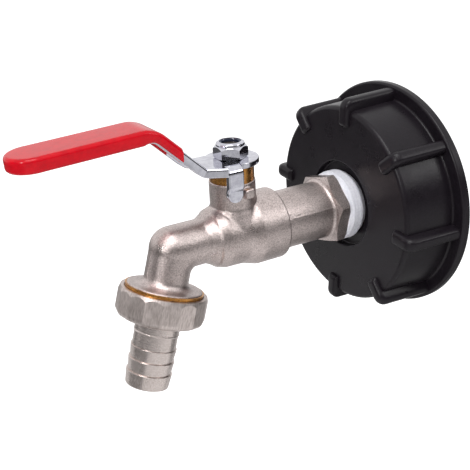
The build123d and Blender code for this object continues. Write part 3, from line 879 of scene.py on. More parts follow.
@dataclass
class ValveBody:
    """Forged body with its bare collar and outlet thread, and the ball and seats inside."""

    chamber_radius: float = 12.4
    chamber_front: float = 15.2
    waist_radius: float = 10.9
    waist_end: float = 0.2
    chamber_start: float = 5.2
    shoulder_x: float = -6.4
    crease_x: float = -9.8
    crease_radius: float = 9.3
    crease_step: float = 0.5
    cone_x: float = -13.0
    pipe_radius: float = 7.6
    spout_radius: float = 7.45
    elbow_inner_radius: float = 2.6
    spout_length: float = 12.5
    shoulder_radius: float = 12.6
    shoulder_thickness: float = 0.8
    neck_radius: float = 7.75
    neck_top: float = 19.0
    neck_base_radius: float = 10.0
    neck_base_bend: float = 5.0
    neck_base_top: float = 10.4
    collar_radius: float = 7.45
    collar_top: float = 24.3
    lug_left: float = -0.6
    lug_width: float = 3.6
    lug_bottom: float = 14.3
    lug_top: float = 17.7
    lug_face: float = 10.0
    outlet_radius: float = 13.1
    outlet_end: float = 18.6
    outlet_pitch: float = 1.814
    port_radius: float = 5.5
    cavity_radius: float = 8.8
    cavity_half: float = 8.4
    shank_bore: float = 9.28
    stem_bore: float = 4.55
    pocket_radius: float = 6.2
    pocket_top: float = 11.85
    flash_angle: float = -86.0
    flash_height: float = 0.2
    flash_width: float = 0.045
    flash_depth: float = 0.5
    outlet_thread_depth: float = 1.0
    outlet_run_in: float = 1.0
    voxel: float = 0.3
    smoothing_steps: int = 4

    def build(self) -> None:
        """Makes the forging, the collar and the outlet thread and dresses what is inside."""
        self.forging()
        make_piece("body_parting_line", [self.flash()], SPOUT, PLATED_FORGING, "valve", sharp=60)
        make_piece("body_collar", [self.collar()], UPRIGHT, BARE_BRASS, "valve")
        make_piece("outlet_thread", [self.outlet()], SPOUT, BARE_BRASS, "valve", sharp=40)
        dress_node("ball", BRIGHT_PLATE)
        for seat in ("inlet_seat", "outlet_seat"):
            dress_node(seat, WHITE_PLASTIC)

    def forging(self) -> bpy.types.Object:
        """Fuses the body's turned forms into one soft-edged forging and cuts its waterway.

        The forms overlap, so they are fused on a fine voxel grid and smoothed, which leaves the
        small hollows at their meeting lines that a forging has.

        Returns:
            The finished object.
        """
        rough = self._join("forging_forms", self.forms())
        remesh = rough.modifiers.new("fuse", "REMESH")
        remesh.mode = "VOXEL"
        remesh.voxel_size = self.voxel * MM
        remesh.use_smooth_shade = True
        smooth = rough.modifiers.new("soften", "SMOOTH")
        smooth.factor = 0.5
        smooth.iterations = self.smoothing_steps
        cutters = [self._join(f"waterway_{number}", [solid])
                   for number, solid in enumerate(self.waterway())]
        for cutter in cutters:
            cut = rough.modifiers.new(cutter.name, "BOOLEAN")
            cut.operation = "DIFFERENCE"
            cut.solver = "EXACT"
            cut.object = cutter
        bpy.context.view_layer.update()
        mesh = bpy.data.meshes.new_from_object(
            rough.evaluated_get(bpy.context.evaluated_depsgraph_get()))
        mesh.name = "body_forging"
        for helper in [rough, *cutters]:
            bpy.data.objects.remove(helper)
        mesh.shade_smooth()
        mesh.set_sharp_from_angle(angle=math.radians(50))
        piece = add_object("body_forging", mesh)
        dress(piece, PLATED_FORGING, "valve", ("valve_body",))
        return piece

    def _join(self, name: str, solids: list[tuple[Patch, np.ndarray]]) -> bpy.types.Object:
        """Puts closed patches, each in its own place, into one working object.

        Args:
            name: The object's name.
            solids: Patches with their places.

        Returns:
            The object, which is removed again once it has been used.
        """
        work = bmesh.new()
        for patch, place in solids:
            mesh = bpy.data.meshes.new(name)
            mesh.from_pydata(patch.placed(place), [], patch.quads().tolist())
            close_seams(mesh)
            work.from_mesh(mesh)
            bpy.data.meshes.remove(mesh)
        joined = bpy.data.meshes.new(name)
        work.to_mesh(joined)
        work.free()
        return add_object(name, joined)

    def forms(self) -> list[tuple[Patch, np.ndarray]]:
        """The forging's forms: chamber and pipe, elbow, spout, neck, inner bend and lug."""
        chamber = turned_line([
            (-SPOUT_OFFSET, 0, 0), (-SPOUT_OFFSET, self.pipe_radius, 0),
            (self.cone_x, self.pipe_radius, 2.5), (self.crease_x, self.crease_radius, 0.3),
            (self.crease_x + 0.3, self.crease_radius + self.crease_step, 0.3),
            (self.shoulder_x, self.waist_radius - 0.2, 2.0),
            (self.waist_end, self.waist_radius, 2.5),
            (self.chamber_start, self.chamber_radius, 2.0),
            (self.chamber_front, self.chamber_radius, 0.5), (self.chamber_front, 0, 0),
        ], segments=144)
        elbow = turned_ball(self.pipe_radius, 37, 72)
        shoulder = self.spout_length + self.shoulder_thickness
        spout = turned_line([
            (0, 0, 0), (0, self.spout_radius, 0), (self.spout_length, self.spout_radius, 2.6),
            (self.spout_length, self.shoulder_radius, 0.3),
            (shoulder, self.shoulder_radius, 0.2), (shoulder, 0, 0)], segments=96)
        neck = turned_line([
            (0, 0, 0), (0, self.neck_base_radius, 0),
            (self.neck_base_bend, self.neck_base_radius, 1.0),
            (self.neck_base_top, self.neck_radius, 1.5), (self.neck_top, self.neck_radius, 0.3),
            (self.neck_top, 0, 0)], segments=96)
        corner = VALVE @ shift_by(-SPOUT_OFFSET)
        return [
            (chamber, VALVE), (elbow, corner), (spout, SPOUT), (neck, UPRIGHT),
            (self.inner_bend(), corner), (self.lug(), VALVE),
        ]

    def inner_bend(self) -> Patch:
        """Bend inside the elbow: a circle carried round an arc between pipe and spout."""
        down = (SPOUT[:3, :3] @ np.array((1.0, 0, 0)))
        radius = min(self.pipe_radius, self.spout_radius) - 0.05
        arc_radius = radius + self.elbow_inner_radius
        ahead = np.array((1.0, 0, 0))
        between = math.acos(float(down @ ahead))
        halving = (down + ahead) / np.linalg.norm(down + ahead)
        middle = halving * arc_radius / math.sin(between / 2)
        side = np.cross(ahead, down)
        side /= np.linalg.norm(side)
        reach = arc_radius / math.tan(between / 2)
        start = ahead * reach - middle
        end = down * reach - middle
        sweep = math.pi - between
        spine = arc(start, end, sweep, np.linspace(0, 1, 25)[:, None])
        round_way = np.linspace(0, TAU, 73)
        out = spine / arc_radius
        ring = (out[:, None] * np.cos(round_way)[None, :, None]
                + side * np.sin(round_way)[None, :, None]) * radius
        points = middle + spine[:, None] + ring
        return capped(points)

    def lug(self) -> Patch:
        """Stop lug: a rounded oblong that narrows into its face, on the near side of the neck."""
        half = self.lug_width / 2
        high = (self.lug_top - self.lug_bottom) / 2
        round_way = np.linspace(0, TAU, 49)
        wide = signed_power(np.cos(round_way), 0.5) * half
        tall = signed_power(np.sin(round_way), 0.5) * high
        depth = np.array((5.0, 5.0, self.lug_face - 0.7, self.lug_face - 0.35,
                          self.lug_face - 0.1, self.lug_face, self.lug_face))
        share = np.array((0.0, 1.0, 1.0, 0.93, 0.84, 0.7, 0.0))
        return Patch(grid(
            self.lug_left + half + wide[None, :] * share[:, None], -depth[:, None],
            (self.lug_bottom + self.lug_top) / 2 + tall[None, :] * share[:, None]))

    def flash(self) -> Patch:
        """Parting line down the spout's outer side: a low ridge that fades at its ends."""
        along = np.linspace(1.0, self.spout_length - 1.2, 30)
        fade = np.sin(np.linspace(0, math.pi, 30)) ** 0.35
        across = np.linspace(0, TAU, 25)
        angle = math.radians(self.flash_angle) + np.cos(across)[None, :] * self.flash_width
        height = self.flash_depth + self.flash_height * fade[:, None]
        radius = self.spout_radius - self.flash_depth + height * (
            0.5 + 0.5 * np.sin(across)[None, :])
        return capped(grid(along[:, None], -radius * np.cos(angle), radius * np.sin(angle)))

    def waterway(self) -> list[tuple[Patch, np.ndarray]]:
        """Solids that are cut out: bore and cavity, elbow, spout bore and stem bore."""
        bore = turned_line([
            (-SPOUT_OFFSET, 0, 0), (-SPOUT_OFFSET, self.port_radius, 0),
            (-self.cavity_half, self.port_radius, 0), (-self.cavity_half, self.cavity_radius, 0),
            (self.cavity_half, self.cavity_radius, 0), (self.cavity_half, self.shank_bore, 0),
            (self.chamber_front + 1, self.shank_bore, 0), (self.chamber_front + 1, 0, 0),
        ], segments=72)
        corner = turned_ball(self.port_radius, 19, 48)
        drop = turned_line([
            (0, 0, 0), (0, self.port_radius - 0.02, 0),
            (self.outlet_end, self.port_radius - 0.02, 0), (self.outlet_end, 0, 0)], segments=48)
        stem = turned_line([
            (5, 0, 0), (5, self.pocket_radius, 0), (self.pocket_top, self.pocket_radius, 0),
            (self.pocket_top, self.stem_bore, 0), (self.neck_top + 1, self.stem_bore, 0),
            (self.neck_top + 1, 0, 0)], segments=60)
        return [(bore, VALVE), (corner, VALVE @ shift_by(-SPOUT_OFFSET)), (drop, SPOUT),
                (stem, UPRIGHT)]

    def collar(self) -> Patch:
        """Turned collar above the plated neck."""
        return turned_line([
            (self.neck_top - 0.3, self.stem_bore, 0), (self.neck_top - 0.3, self.collar_radius, 0),
            (self.collar_top, self.collar_radius, 0.4), (self.collar_top, self.stem_bore, 0),
        ])

    def outlet(self) -> Patch:
        """Outlet with its pipe thread: the radius follows a rounded wave that climbs each turn."""
        start = self.spout_length + 0.4
        angles = np.linspace(0, TAU, 97)
        along = np.concatenate([
            [start, start], np.linspace(start + 0.9, self.outlet_end - 0.3, 60),
            [self.outlet_end, self.outlet_end, start]])
        radius = np.full((len(along), len(angles)), self.outlet_radius)
        phase = along[:, None] / self.outlet_pitch - angles[None, :] / TAU
        depth = 0.5 - 0.5 * np.cos(TAU * phase)
        run = np.clip((along[:, None] - start) / self.outlet_run_in - 1, 0, 1)
        radius = radius - depth * run * self.outlet_thread_depth
        radius[[0, -2, -1]] = self.port_radius
        radius[-3] = self.outlet_radius - 0.8
        return turned(along[:, None], radius, angles)


@dataclass
class Strip:
    """Half a folded sheet's section for each station along its edge, all in millimetres.

    Attributes:
        middle: Stations by three: the sheet's middle line.
        up: Stations by three: away from the sheet's top face.
        out: Stations by three: from the middle line to the edge.
        width: Middle line to the edge.
        top: Height of the top face over the middle line.
        under: Height of the underside.
        bottom: Height of the turned down edge's lower end.
        wall: Thickness of the turned down edge.
        top_radius: Rounding of the upper outer corner.
        edge_radius: Rounding of the lower corners.
    """

    OUTER_ROWS: ClassVar[int] = 13  # the middle, half way out and the two outer corners

    middle: np.ndarray
    up: np.ndarray
    out: np.ndarray
    width: np.ndarray
    top: np.ndarray
    under: np.ndarray
    bottom: np.ndarray
    wall: float
    top_radius: np.ndarray
    edge_radius: float

    def patch(self) -> Patch:
        """Carries the half section along the edge: out over the top, down the rim and back.

        Each corner is a quarter circle about a centre one radius inside it. The inner corners
        shrink to nothing where the edge isn't turned down.

        Returns:
            The patch, whose first and last rows lie on the middle line.
        """
        folded = np.clip((self.under - self.bottom) / 0.6, 0, 1)
        edge = self.edge_radius
        inner = edge * folded
        rows = [(np.zeros_like(self.width), self.top), (self.width * 0.5, self.top)]
        for angle in np.radians(np.linspace(90, 0, 7)):
            rows.append((self.width - self.top_radius * (1 - math.cos(angle)),
                         self.top - self.top_radius * (1 - math.sin(angle))))
        for angle in np.radians(np.linspace(0, -90, 4)):
            rows.append((self.width - edge * (1 - math.cos(angle)),
                         self.bottom + edge * (1 + math.sin(angle))))
        for angle in np.radians(np.linspace(-90, -180, 4)):
            rows.append((self.width - self.wall + inner * (1 + math.cos(angle)),
                         self.bottom + inner * (1 + math.sin(angle))))
        for angle in np.radians(np.linspace(0, 90, 4)):
            rows.append((self.width - self.wall - inner * (1 - math.cos(angle)),
                         self.under - inner * (1 - math.sin(angle))))
        rows.append((np.zeros_like(self.width), self.under))
        points = np.stack([
            self.middle + self.out * out[:, None] + self.up * lift[:, None]
            for out, lift in rows])
        return Patch(points)


@dataclass
class Lever:
    """Pressed lever with its stop tabs, dipped sleeve, lock nut and stem."""

    sheet: float = 1.9
    plate_bottom: float = 24.6
    plate_radius: float = 9.2
    arm_width: float = 14.4
    foot_x: float = -12.9
    bend_x: float = -29.6
    bend_z: float = 41.2
    tip_x: float = -71.3
    droop: float = 2.84
    foot_radius: float = 2.5
    bend_radius: float = 9.0
    slope_depth: float = 3.2
    grip_depth: float = 3.7
    plate_depth: float = 3.0
    plate_rim_end: float = 13.5
    slope_rim_start: float = 15.0
    edge_rounding: float = 0.3
    thin_corner: float = 0.35
    deep_corner: float = 0.9
    tab_face: float = 10.6
    tab_left: float = -7.1
    tab_right: float = -1.4
    tab_joggle: float = 0.6
    tab_joggle_z: float = 19.4
    tab_bottom: float = 14.4
    tab_bend_radius: float = 1.9
    tab_end_length: float = 2.6
    far_tab_inner: float = 7.95
    far_tab_thickness: float = 1.5
    far_tab_start: float = 29.0
    far_tab_angle: float = 26.0
    sleeve_wall: float = 0.5
    sleeve_end_x: float = -20.7
    sleeve_slope_depth: float = 2.9
    sleeve_tip_wall: float = 1.5
    sleeve_edge_radius: float = 1.3
    sleeve_shear: float = 7.0
    nut_flat: float = 5.0
    nut_hex_height: float = 4.1
    nut_height: float = 5.4
    nut_dome_radius: float = 4.75
    nut_ring_radius: float = 4.1
    nut_hole_radius: float = 3.6
    nut_bore_radius: float = 3.03
    nut_low_cone: float = 0.45
    nut_high_cone: float = 0.9
    nut_rounding: float = 0.9
    nut_ring_depth: float = 1.9
    nut_lip: float = 0.4
    nut_first: float = 0.0

    def build(self) -> None:
        """Makes arm, sleeve and nut and dresses the stem, its seals and the locking ring."""
        make_piece("lever_plate", [*self.arm(), self.near_tab(), self.far_tab()], VALVE,
                   BRIGHT_PLATE, "handle", ("lever_arm",), sharp=40)
        make_piece("lever_grip", self.sleeve(), VALVE, DIPPED_VINYL, "handle",
                   ("lever_sleeve",), sharp=60)
        make_piece("lock_nut", [self.nut()], UPRIGHT, BRIGHT_PLATE, "handle", ("lever_nut",),
                   sharp=28)
        # The locking ring's blue nylon is painted nearly black for the shade in the nut's mouth.
        dress_node("nut_locking_ring", BLUE_NYLON_PAINTED_SHADE)
        # The stem's brass is painted dark to stand for the shade inside the nut's hole.
        dress_node("stem", STEM_BRASS_PAINTED_SHADE)
        dress_node("stem_thrust_washer", WHITE_PLASTIC)
        for ring in ("stem_o_ring_lower", "stem_o_ring_upper"):
            dress_node(ring, MOULDED_RUBBER)

    def line(self, start_x: float, end_x: float, count: int) -> tuple[np.ndarray, np.ndarray]:
        """Middle of the sheet in the upright plane, evenly spaced and without its steps.

        Args:
            start_x: Where it starts, from the stem axis.
            end_x: Where it ends.
            count: How many stations.

        Returns:
            (x, z) rows and their unit normals that point up.
        """
        level = self.plate_bottom + self.sheet / 2
        far_x = self.tip_x - 20
        drop = (self.bend_x - far_x) * math.tan(math.radians(self.droop))
        path = rounded_line([
            (20, level, 0), (self.foot_x, level, self.foot_radius),
            (self.bend_x, self.bend_z, self.bend_radius), (far_x, self.bend_z - drop, 0),
        ], closed=False, step=2.0)
        even = np.linspace(*np.interp((-start_x, -end_x), -path[:, 0], distances(path)), count)
        near = 0.15
        ahead = points_at(path, even + near) - points_at(path, even - near)
        ahead /= np.linalg.norm(ahead, axis=1, keepdims=True)
        return points_at(path, even), np.stack([ahead[:, 1], -ahead[:, 0]], axis=1)

    def half_plan(self, x: np.ndarray) -> np.ndarray:
        """Half width from above: the arm's, or the round plate's where that is wider."""
        plate = np.sqrt(np.clip(self.plate_radius ** 2 - x ** 2, 0, None))
        return np.maximum(np.where(x < 0, self.arm_width / 2, 0), plate)

    def track(self, spots: np.ndarray, normals: np.ndarray, near: np.ndarray,
              far: np.ndarray, tip_turn: int, plate_turn: int,
              ) -> tuple[np.ndarray, np.ndarray, np.ndarray, np.ndarray, np.ndarray]:
        """Stations round a strip: out along the near side, round the tip and back again.

        Args:
            spots: (x, z) rows along the middle line, from the open or round end to the tip.
            normals: Their normals.
            near: Which stations the near side uses.
            far: Which stations the far side uses.
            tip_turn: Stations in the half turn at the tip.
            plate_turn: Stations in the half turn at the other end, or 0 where that is open.

        Returns:
            Middle, up, out, the station's number on the line, and which side it is on.
        """
        def spread(rows: np.ndarray) -> np.ndarray:
            """(x, z) rows as (x, 0, z) rows."""
            return np.stack([rows[:, 0], np.zeros(len(rows)), rows[:, 1]], axis=1)

        last = len(spots) - 1
        tip = np.linspace(0, math.pi, tip_turn + 2)[1:-1]
        plate = np.linspace(math.pi, TAU, plate_turn + 2)[1:-1] if plate_turn else np.zeros(0)
        number = np.concatenate([
            near, np.full(len(tip), last), far[::-1], np.zeros(len(plate), int)])
        angle = np.concatenate([
            np.zeros(len(near)), tip, np.full(len(far), math.pi), plate])
        ahead = np.stack([-normals[:, 1], normals[:, 0]], axis=1)
        out = (np.cos(angle)[:, None] * np.array((0, -1.0, 0))
               + np.sin(angle)[:, None] * spread(ahead)[number])
        return spread(spots)[number], spread(normals)[number], out, number, angle

    def arm(self) -> list[Patch]:
        """Round plate and arm with turned down edges, as one strip with a round end each way."""
        end = self.tip_x + self.arm_width / 2
        spots, normals = self.line(0.0, end, 170)
        steps = np.array((self.foot_x, self.tab_left, self.tab_right))
        for x in steps:
            spots, normals = self._double(spots, normals, x)
        count = len(spots)
        stations = np.arange(count)
        middle, up, out, number, angle = self.track(spots, normals, stations, stations, 24, 36)
        x = spots[number, 0]
        side = np.concatenate([[False], spots[1:, 0] == spots[:-1, 0]])[number]
        near = (angle == 0)
        tab = near & (x <= self.tab_right) & (x >= self.tab_left)
        tab &= ~((x == self.tab_right) & ~side) & ~((x == self.tab_left) & side)
        width = self.half_plan(x)
        ear = np.interp(-x, [-self.tab_left, -self.foot_x], [self.tab_face, self.arm_width / 2])
        inside_ear = near & (x <= self.tab_left) & (x >= self.foot_x) & ~tab
        width = np.where(inside_ear, np.maximum(width, ear), width)
        bend_start = self.tab_face - self.sheet / 2 - self.tab_bend_radius
        width = np.where(tab, bend_start, width)
        width = np.where(number == 0, self.plate_radius, width)
        half = self.sheet / 2
        way = np.abs(x)
        rim_start = abs(self.tab_right)
        depth = np.interp(
            way, [rim_start, rim_start + 0.01, self.plate_rim_end, self.slope_rim_start,
                  abs(self.bend_x) - 1, abs(self.bend_x) + 3],
            [self.sheet, self.plate_depth, self.plate_depth, self.slope_depth,
             self.slope_depth, self.grip_depth])
        depth = np.where(tab, self.sheet, depth)
        corner = np.where(tab, 0.02, np.interp(
            depth, [self.sheet, self.sheet + 1], [self.thin_corner, self.deep_corner]))
        strip = Strip(
            middle, up, out, width, np.full(len(x), half), np.full(len(x), -half), half - depth,
            self.sheet, corner, self.edge_rounding)
        points = strip.patch().points
        return [Patch(np.concatenate([points, points[:, :1]], axis=1))]

    def _double(self, spots: np.ndarray, normals: np.ndarray,
                x: float) -> tuple[np.ndarray, np.ndarray]:
        """Adds two stations at one place, so that the width may step there.

        Args:
            spots: (x, z) rows in falling order of x.
            normals: Their normals.
            x: The place.

        Returns:
            The longer rows.
        """
        at = int(np.searchsorted(-spots[:, 0], -x))
        spot = np.array((x, np.interp(-x, -spots[:, 0], spots[:, 1])))
        return (np.insert(spots, at, [spot, spot], axis=0),
                np.insert(normals, at, [normals[at], normals[at]], axis=0))

    def near_tab(self) -> Patch:
        """Near stop tab: a rounded strip carried over the bend, down and round its lower end."""
        level = self.plate_bottom + self.sheet / 2
        outer = self.tab_face - self.sheet / 2
        path = rounded_line([
            (-outer + self.tab_bend_radius + 0.02, level, 0), (-outer, level, self.tab_bend_radius),
            (-outer, self.tab_joggle_z, 1.5),
            (-outer + self.tab_joggle, self.tab_joggle_z - 1.4, 1.5),
            (-outer + self.tab_joggle, self.tab_bottom, 0),
        ], closed=False, step=6.0)
        even = divisions(path, 40)
        rounding = self.tab_end_length * (1 - np.sin(np.linspace(0, math.pi / 2, 14)))
        even = np.unique(np.concatenate([even, even[-1] - rounding]))
        spots = points_at(path, even)
        ahead = np.gradient(spots, even, axis=0)
        ahead /= np.linalg.norm(ahead, axis=1, keepdims=True)
        outward = np.stack([ahead[:, 1], -ahead[:, 0]], axis=1)
        left = np.clip((even[-1] - even) / self.tab_end_length, 0, 1)
        half = (self.tab_right - self.tab_left) / 2
        narrow = half * (0.12 + 0.88 * np.sqrt(1 - (1 - left) ** 2))
        section = closed_section(
            [(-1, -1, 0.25), (1, -1, 0.25), (1, 1, 0.25), (-1, 1, 0.25)], step=30)
        sideways = narrow[:, None] * section[None, :, 0]
        lift = self.sheet / 2 * section[None, :, 1]
        return capped(grid((self.tab_left + self.tab_right) / 2 + sideways,
                           spots[:, None, 0] + outward[:, None, 0] * lift,
                           spots[:, None, 1] + outward[:, None, 1] * lift))

    def far_tab(self) -> Patch:
        """Far stop tab: a curved plate round the neck, from the plate down."""
        top = self.plate_bottom + self.sheet - 0.2
        outer = self.far_tab_inner + self.far_tab_thickness
        section = closed_section([
            (self.far_tab_inner, self.tab_bottom, 0.3), (outer, self.tab_bottom, 0.3),
            (outer, top, 0.3), (self.far_tab_inner, top, 0.3)], step=30)
        angle = np.radians(self.far_tab_start + np.linspace(0, self.far_tab_angle, 12))[:, None]
        return capped(grid(section[None, :, 0] * np.cos(angle),
                           section[None, :, 0] * np.sin(angle), section[None, :, 1]))

    def sleeve(self) -> list[Patch]:
        """Sleeve over the arm: the same strip one wall larger, cut upright at its open end.

        Near the open end every station is sheared along the sheet until its points stand
        above one another, so the last one is the upright cut.

        Returns:
            The strip and the two halves of its end face.
        """
        end = self.tip_x + self.arm_width / 2
        spots, normals = self.line(self.sleeve_end_x, end, 110)
        stations = np.arange(len(spots))
        middle, up, out, number, angle = self.track(spots, normals, stations, stations, 30, 0)
        x = spots[number, 0]
        width = self.arm_width / 2 + self.sleeve_wall + np.sin(angle) * (
            self.sleeve_tip_wall - self.sleeve_wall)
        top = np.full(len(x), self.sheet / 2 + self.sleeve_wall)
        depth = np.interp(-x, [-self.bend_x - 1, -self.bend_x + 3.5],
                          [self.sleeve_slope_depth, self.grip_depth + self.sleeve_wall])
        strip = Strip(
            middle, up, out, width, top, -top, self.sheet / 2 - depth,
            self.sheet + 2 * self.sleeve_wall, np.full(len(x), self.sleeve_edge_radius), 1.0)
        points = strip.patch().points
        upright = np.clip(1 - (self.sleeve_end_x - x) / self.sleeve_shear, 0, 1)
        pull = upright * (x - points[..., 0])
        points[..., 0] += pull
        points[..., 2] -= pull * (up[:, 0] / up[:, 2])
        return [Patch(points),
                self.end_face(points[:, 0]), self.end_face(points[:, -1])]

    def end_face(self, outline: np.ndarray) -> Patch:
        """Closes half a folded section by joining its outer side to its inner side.

        Args:
            outline: The half section's points, from the top's middle to the underside's.

        Returns:
            The patch, with one row of faces.
        """
        last = len(outline) - 1
        outer = np.arange(Strip.OUTER_ROWS)
        inner = np.clip(last + 3 - outer, Strip.OUTER_ROWS, last)
        return Patch(np.stack([outline[outer], outline[inner]], axis=1))

    def nut(self) -> Patch:
        """Lock nut: hexagon with coned ends, round collar and the hole with its ring's seat."""
        base = self.plate_bottom + self.sheet
        angles = np.linspace(0, TAU, 6 * 20 + 1) + math.radians(self.nut_first)
        prism = flats(angles, 6, self.nut_flat, math.radians(self.nut_first))
        corner = self.nut_flat / math.cos(math.pi / 6)
        low = self.nut_flat - 0.1
        high = self.nut_flat - 0.15
        low_slope = (corner - low) / self.nut_low_cone
        high_slope = (corner - high) / self.nut_high_cone
        ring_bottom = self.nut_height - self.nut_ring_depth
        lip = self.nut_height - self.nut_lip
        rounding = self.nut_rounding
        rows = [
            (0, self.nut_bore_radius), (0, low), ((prism - low) / low_slope, prism),
            (self.nut_hex_height - (prism - high) / high_slope, prism),
            (self.nut_hex_height, high), (self.nut_hex_height, self.nut_dome_radius),
        ]
        for angle in np.radians(np.linspace(0, 90, 6)):
            rows.append((self.nut_height - rounding + rounding * math.sin(angle),
                         self.nut_dome_radius - rounding * (1 - math.cos(angle))))
        rows += [
            (self.nut_height, self.nut_hole_radius), (lip, self.nut_hole_radius),
            (lip, self.nut_ring_radius), (ring_bottom, self.nut_ring_radius),
            (ring_bottom, self.nut_bore_radius), (0, self.nut_bore_radius),
        ]
        return turned_rows(rows, angles, base)


@dataclass
class HoseOutlet:
    """Union nut with its grip facets, and the hose tail with its gasket."""

    facets: int = 16
    corner_radius: float = 14.9
    facet_first: float = -4.3
    mouth: float = 13.9
    height: float = 9.8
    floor: float = 1.8
    edge_radius: float = 2.4
    mouth_chamfer: float = 1.6
    thread_radius: float = 13.25
    hole_radius: float = 7.85
    tail_top: float = 20.4
    flange_radius: float = 12.5
    flange_thickness: float = 1.5
    tail_radius: float = 7.5
    ring_step: float = 0.15
    ring_width: float = 0.6
    collar_end: float = 28.2
    barbs: tuple[float, float, float] = (32.9, 37.2, 41.5)
    barb_radius: float = 7.75
    barb_root: float = 7.25
    tail_end: float = 46.5
    bore_radius: float = 5.75

    def build(self) -> None:
        """Makes the nut and the tail and dresses the gasket."""
        make_piece("union_grip_nut", [self.nut()], SPOUT, PLATED_UNION, "union", ("union_nut",),
                   sharp=16)
        make_piece("barbed_tail", [self.tail()], SPOUT, PLATED_TURNED, "tail", ("hose_tail",),
                   sharp=25)
        dress_node("outlet_gasket", MOULDED_RUBBER)

    def nut(self) -> Patch:
        """Union nut: facets under a coned mouth, drawn in by a round lower edge.

        The lower edge is a quarter ellipse from each facet to one plain circle, so the facets
        fade out as they do on the casting.

        Returns:
            The patch.
        """
        first = math.radians(self.facet_first)
        angles = np.linspace(0, TAU, self.facets * 10 + 1) + first
        flat = self.corner_radius * math.cos(math.pi / self.facets)
        prism = flats(angles, self.facets, flat, first)
        mouth, end = self.mouth, self.mouth + self.height
        face = flat - 0.2
        slope = (self.corner_radius - face) / self.mouth_chamfer
        lower = flat - self.edge_radius
        rows = [
            (mouth, self.thread_radius), (mouth, face), (mouth + (prism - face) / slope, prism),
        ]
        for angle in np.radians(np.linspace(0, 90, 9)):
            rows.append((end - self.edge_radius * (1 - math.sin(angle)),
                         lower + (prism - lower) * math.cos(angle)))
        rows += [
            (end, self.hole_radius), (end - self.floor, self.hole_radius),
            (end - self.floor, self.thread_radius), (mouth, self.thread_radius),
        ]
        return turned_rows(rows, angles)

    def tail(self) -> Patch:
        """Hose tail: flange, collar with its fine ring, and barbs with sharp upper edges."""
        plain = self.tail_radius - self.ring_step
        corners = [
            (self.tail_top, self.bore_radius, 0.5), (self.tail_top, self.flange_radius, 0.3),
            (self.tail_top + self.flange_thickness, self.flange_radius, 0.3),
            (self.tail_top + self.flange_thickness, self.tail_radius, 0),
            (self.collar_end - self.ring_width, self.tail_radius, 0),
            (self.collar_end - self.ring_width / 2, self.tail_radius + self.ring_step, 0.1),
            (self.collar_end, self.tail_radius, 0), (self.collar_end, plain, 0),
        ]
        for start, root in zip(self.barbs, (plain, self.barb_root, self.barb_root)):
            corners += [(start, root, 0), (start, self.barb_radius, 0.12)]
        corners += [(self.tail_end, self.barb_root, 0.6), (self.tail_end, self.bore_radius, 0.4)]
        return turned_line(corners, segments=128)


@dataclass(frozen=True)
class Card:
    """Part of a ring round the object, upright or flat, in one tone of grey.

    Attributes:
        name: Its name.
        azimuths: Where it starts and ends, in degrees from +X.
        low: Radius and height of one edge, in metres.
        high: Radius and height of the other edge.
        tone: How bright reflections see it, where 1 is white.
    """

    name: str
    azimuths: tuple[float, float]
    low: tuple[float, float]
    high: tuple[float, float]
    tone: float

    def build(self) -> None:
        """Makes the card and hides it from everything but glossy rays."""
        material = bpy.data.materials.new(self.name)
        tree = empty_tree(material)
        glow = add_node(tree, "ShaderNodeEmission", {
            "Color": WHITE, "Strength": self.tone})
        add_node(tree, "ShaderNodeOutputMaterial", links={"Surface": glow.outputs["Emission"]})
        count = 40
        angles = np.radians(np.linspace(*self.azimuths, count))
        rings = [
            np.stack([radius * np.cos(angles) + STUDIO_MIDDLE[0], radius * np.sin(angles),
                      np.full(count, height)], axis=1) for radius, height in (self.low, self.high)]
        index = np.arange(count - 1)
        faces = np.stack([index, index + 1, index + count + 1, index + count], axis=1)
        mesh = bpy.data.meshes.new(self.name)
        mesh.from_pydata(np.concatenate(rings), [], faces.tolist())
        mesh.materials.append(material)
        card = add_object(self.name, mesh)
        card.visible_camera = False
        card.visible_diffuse = False
        card.visible_shadow = False
        card.visible_transmission = False


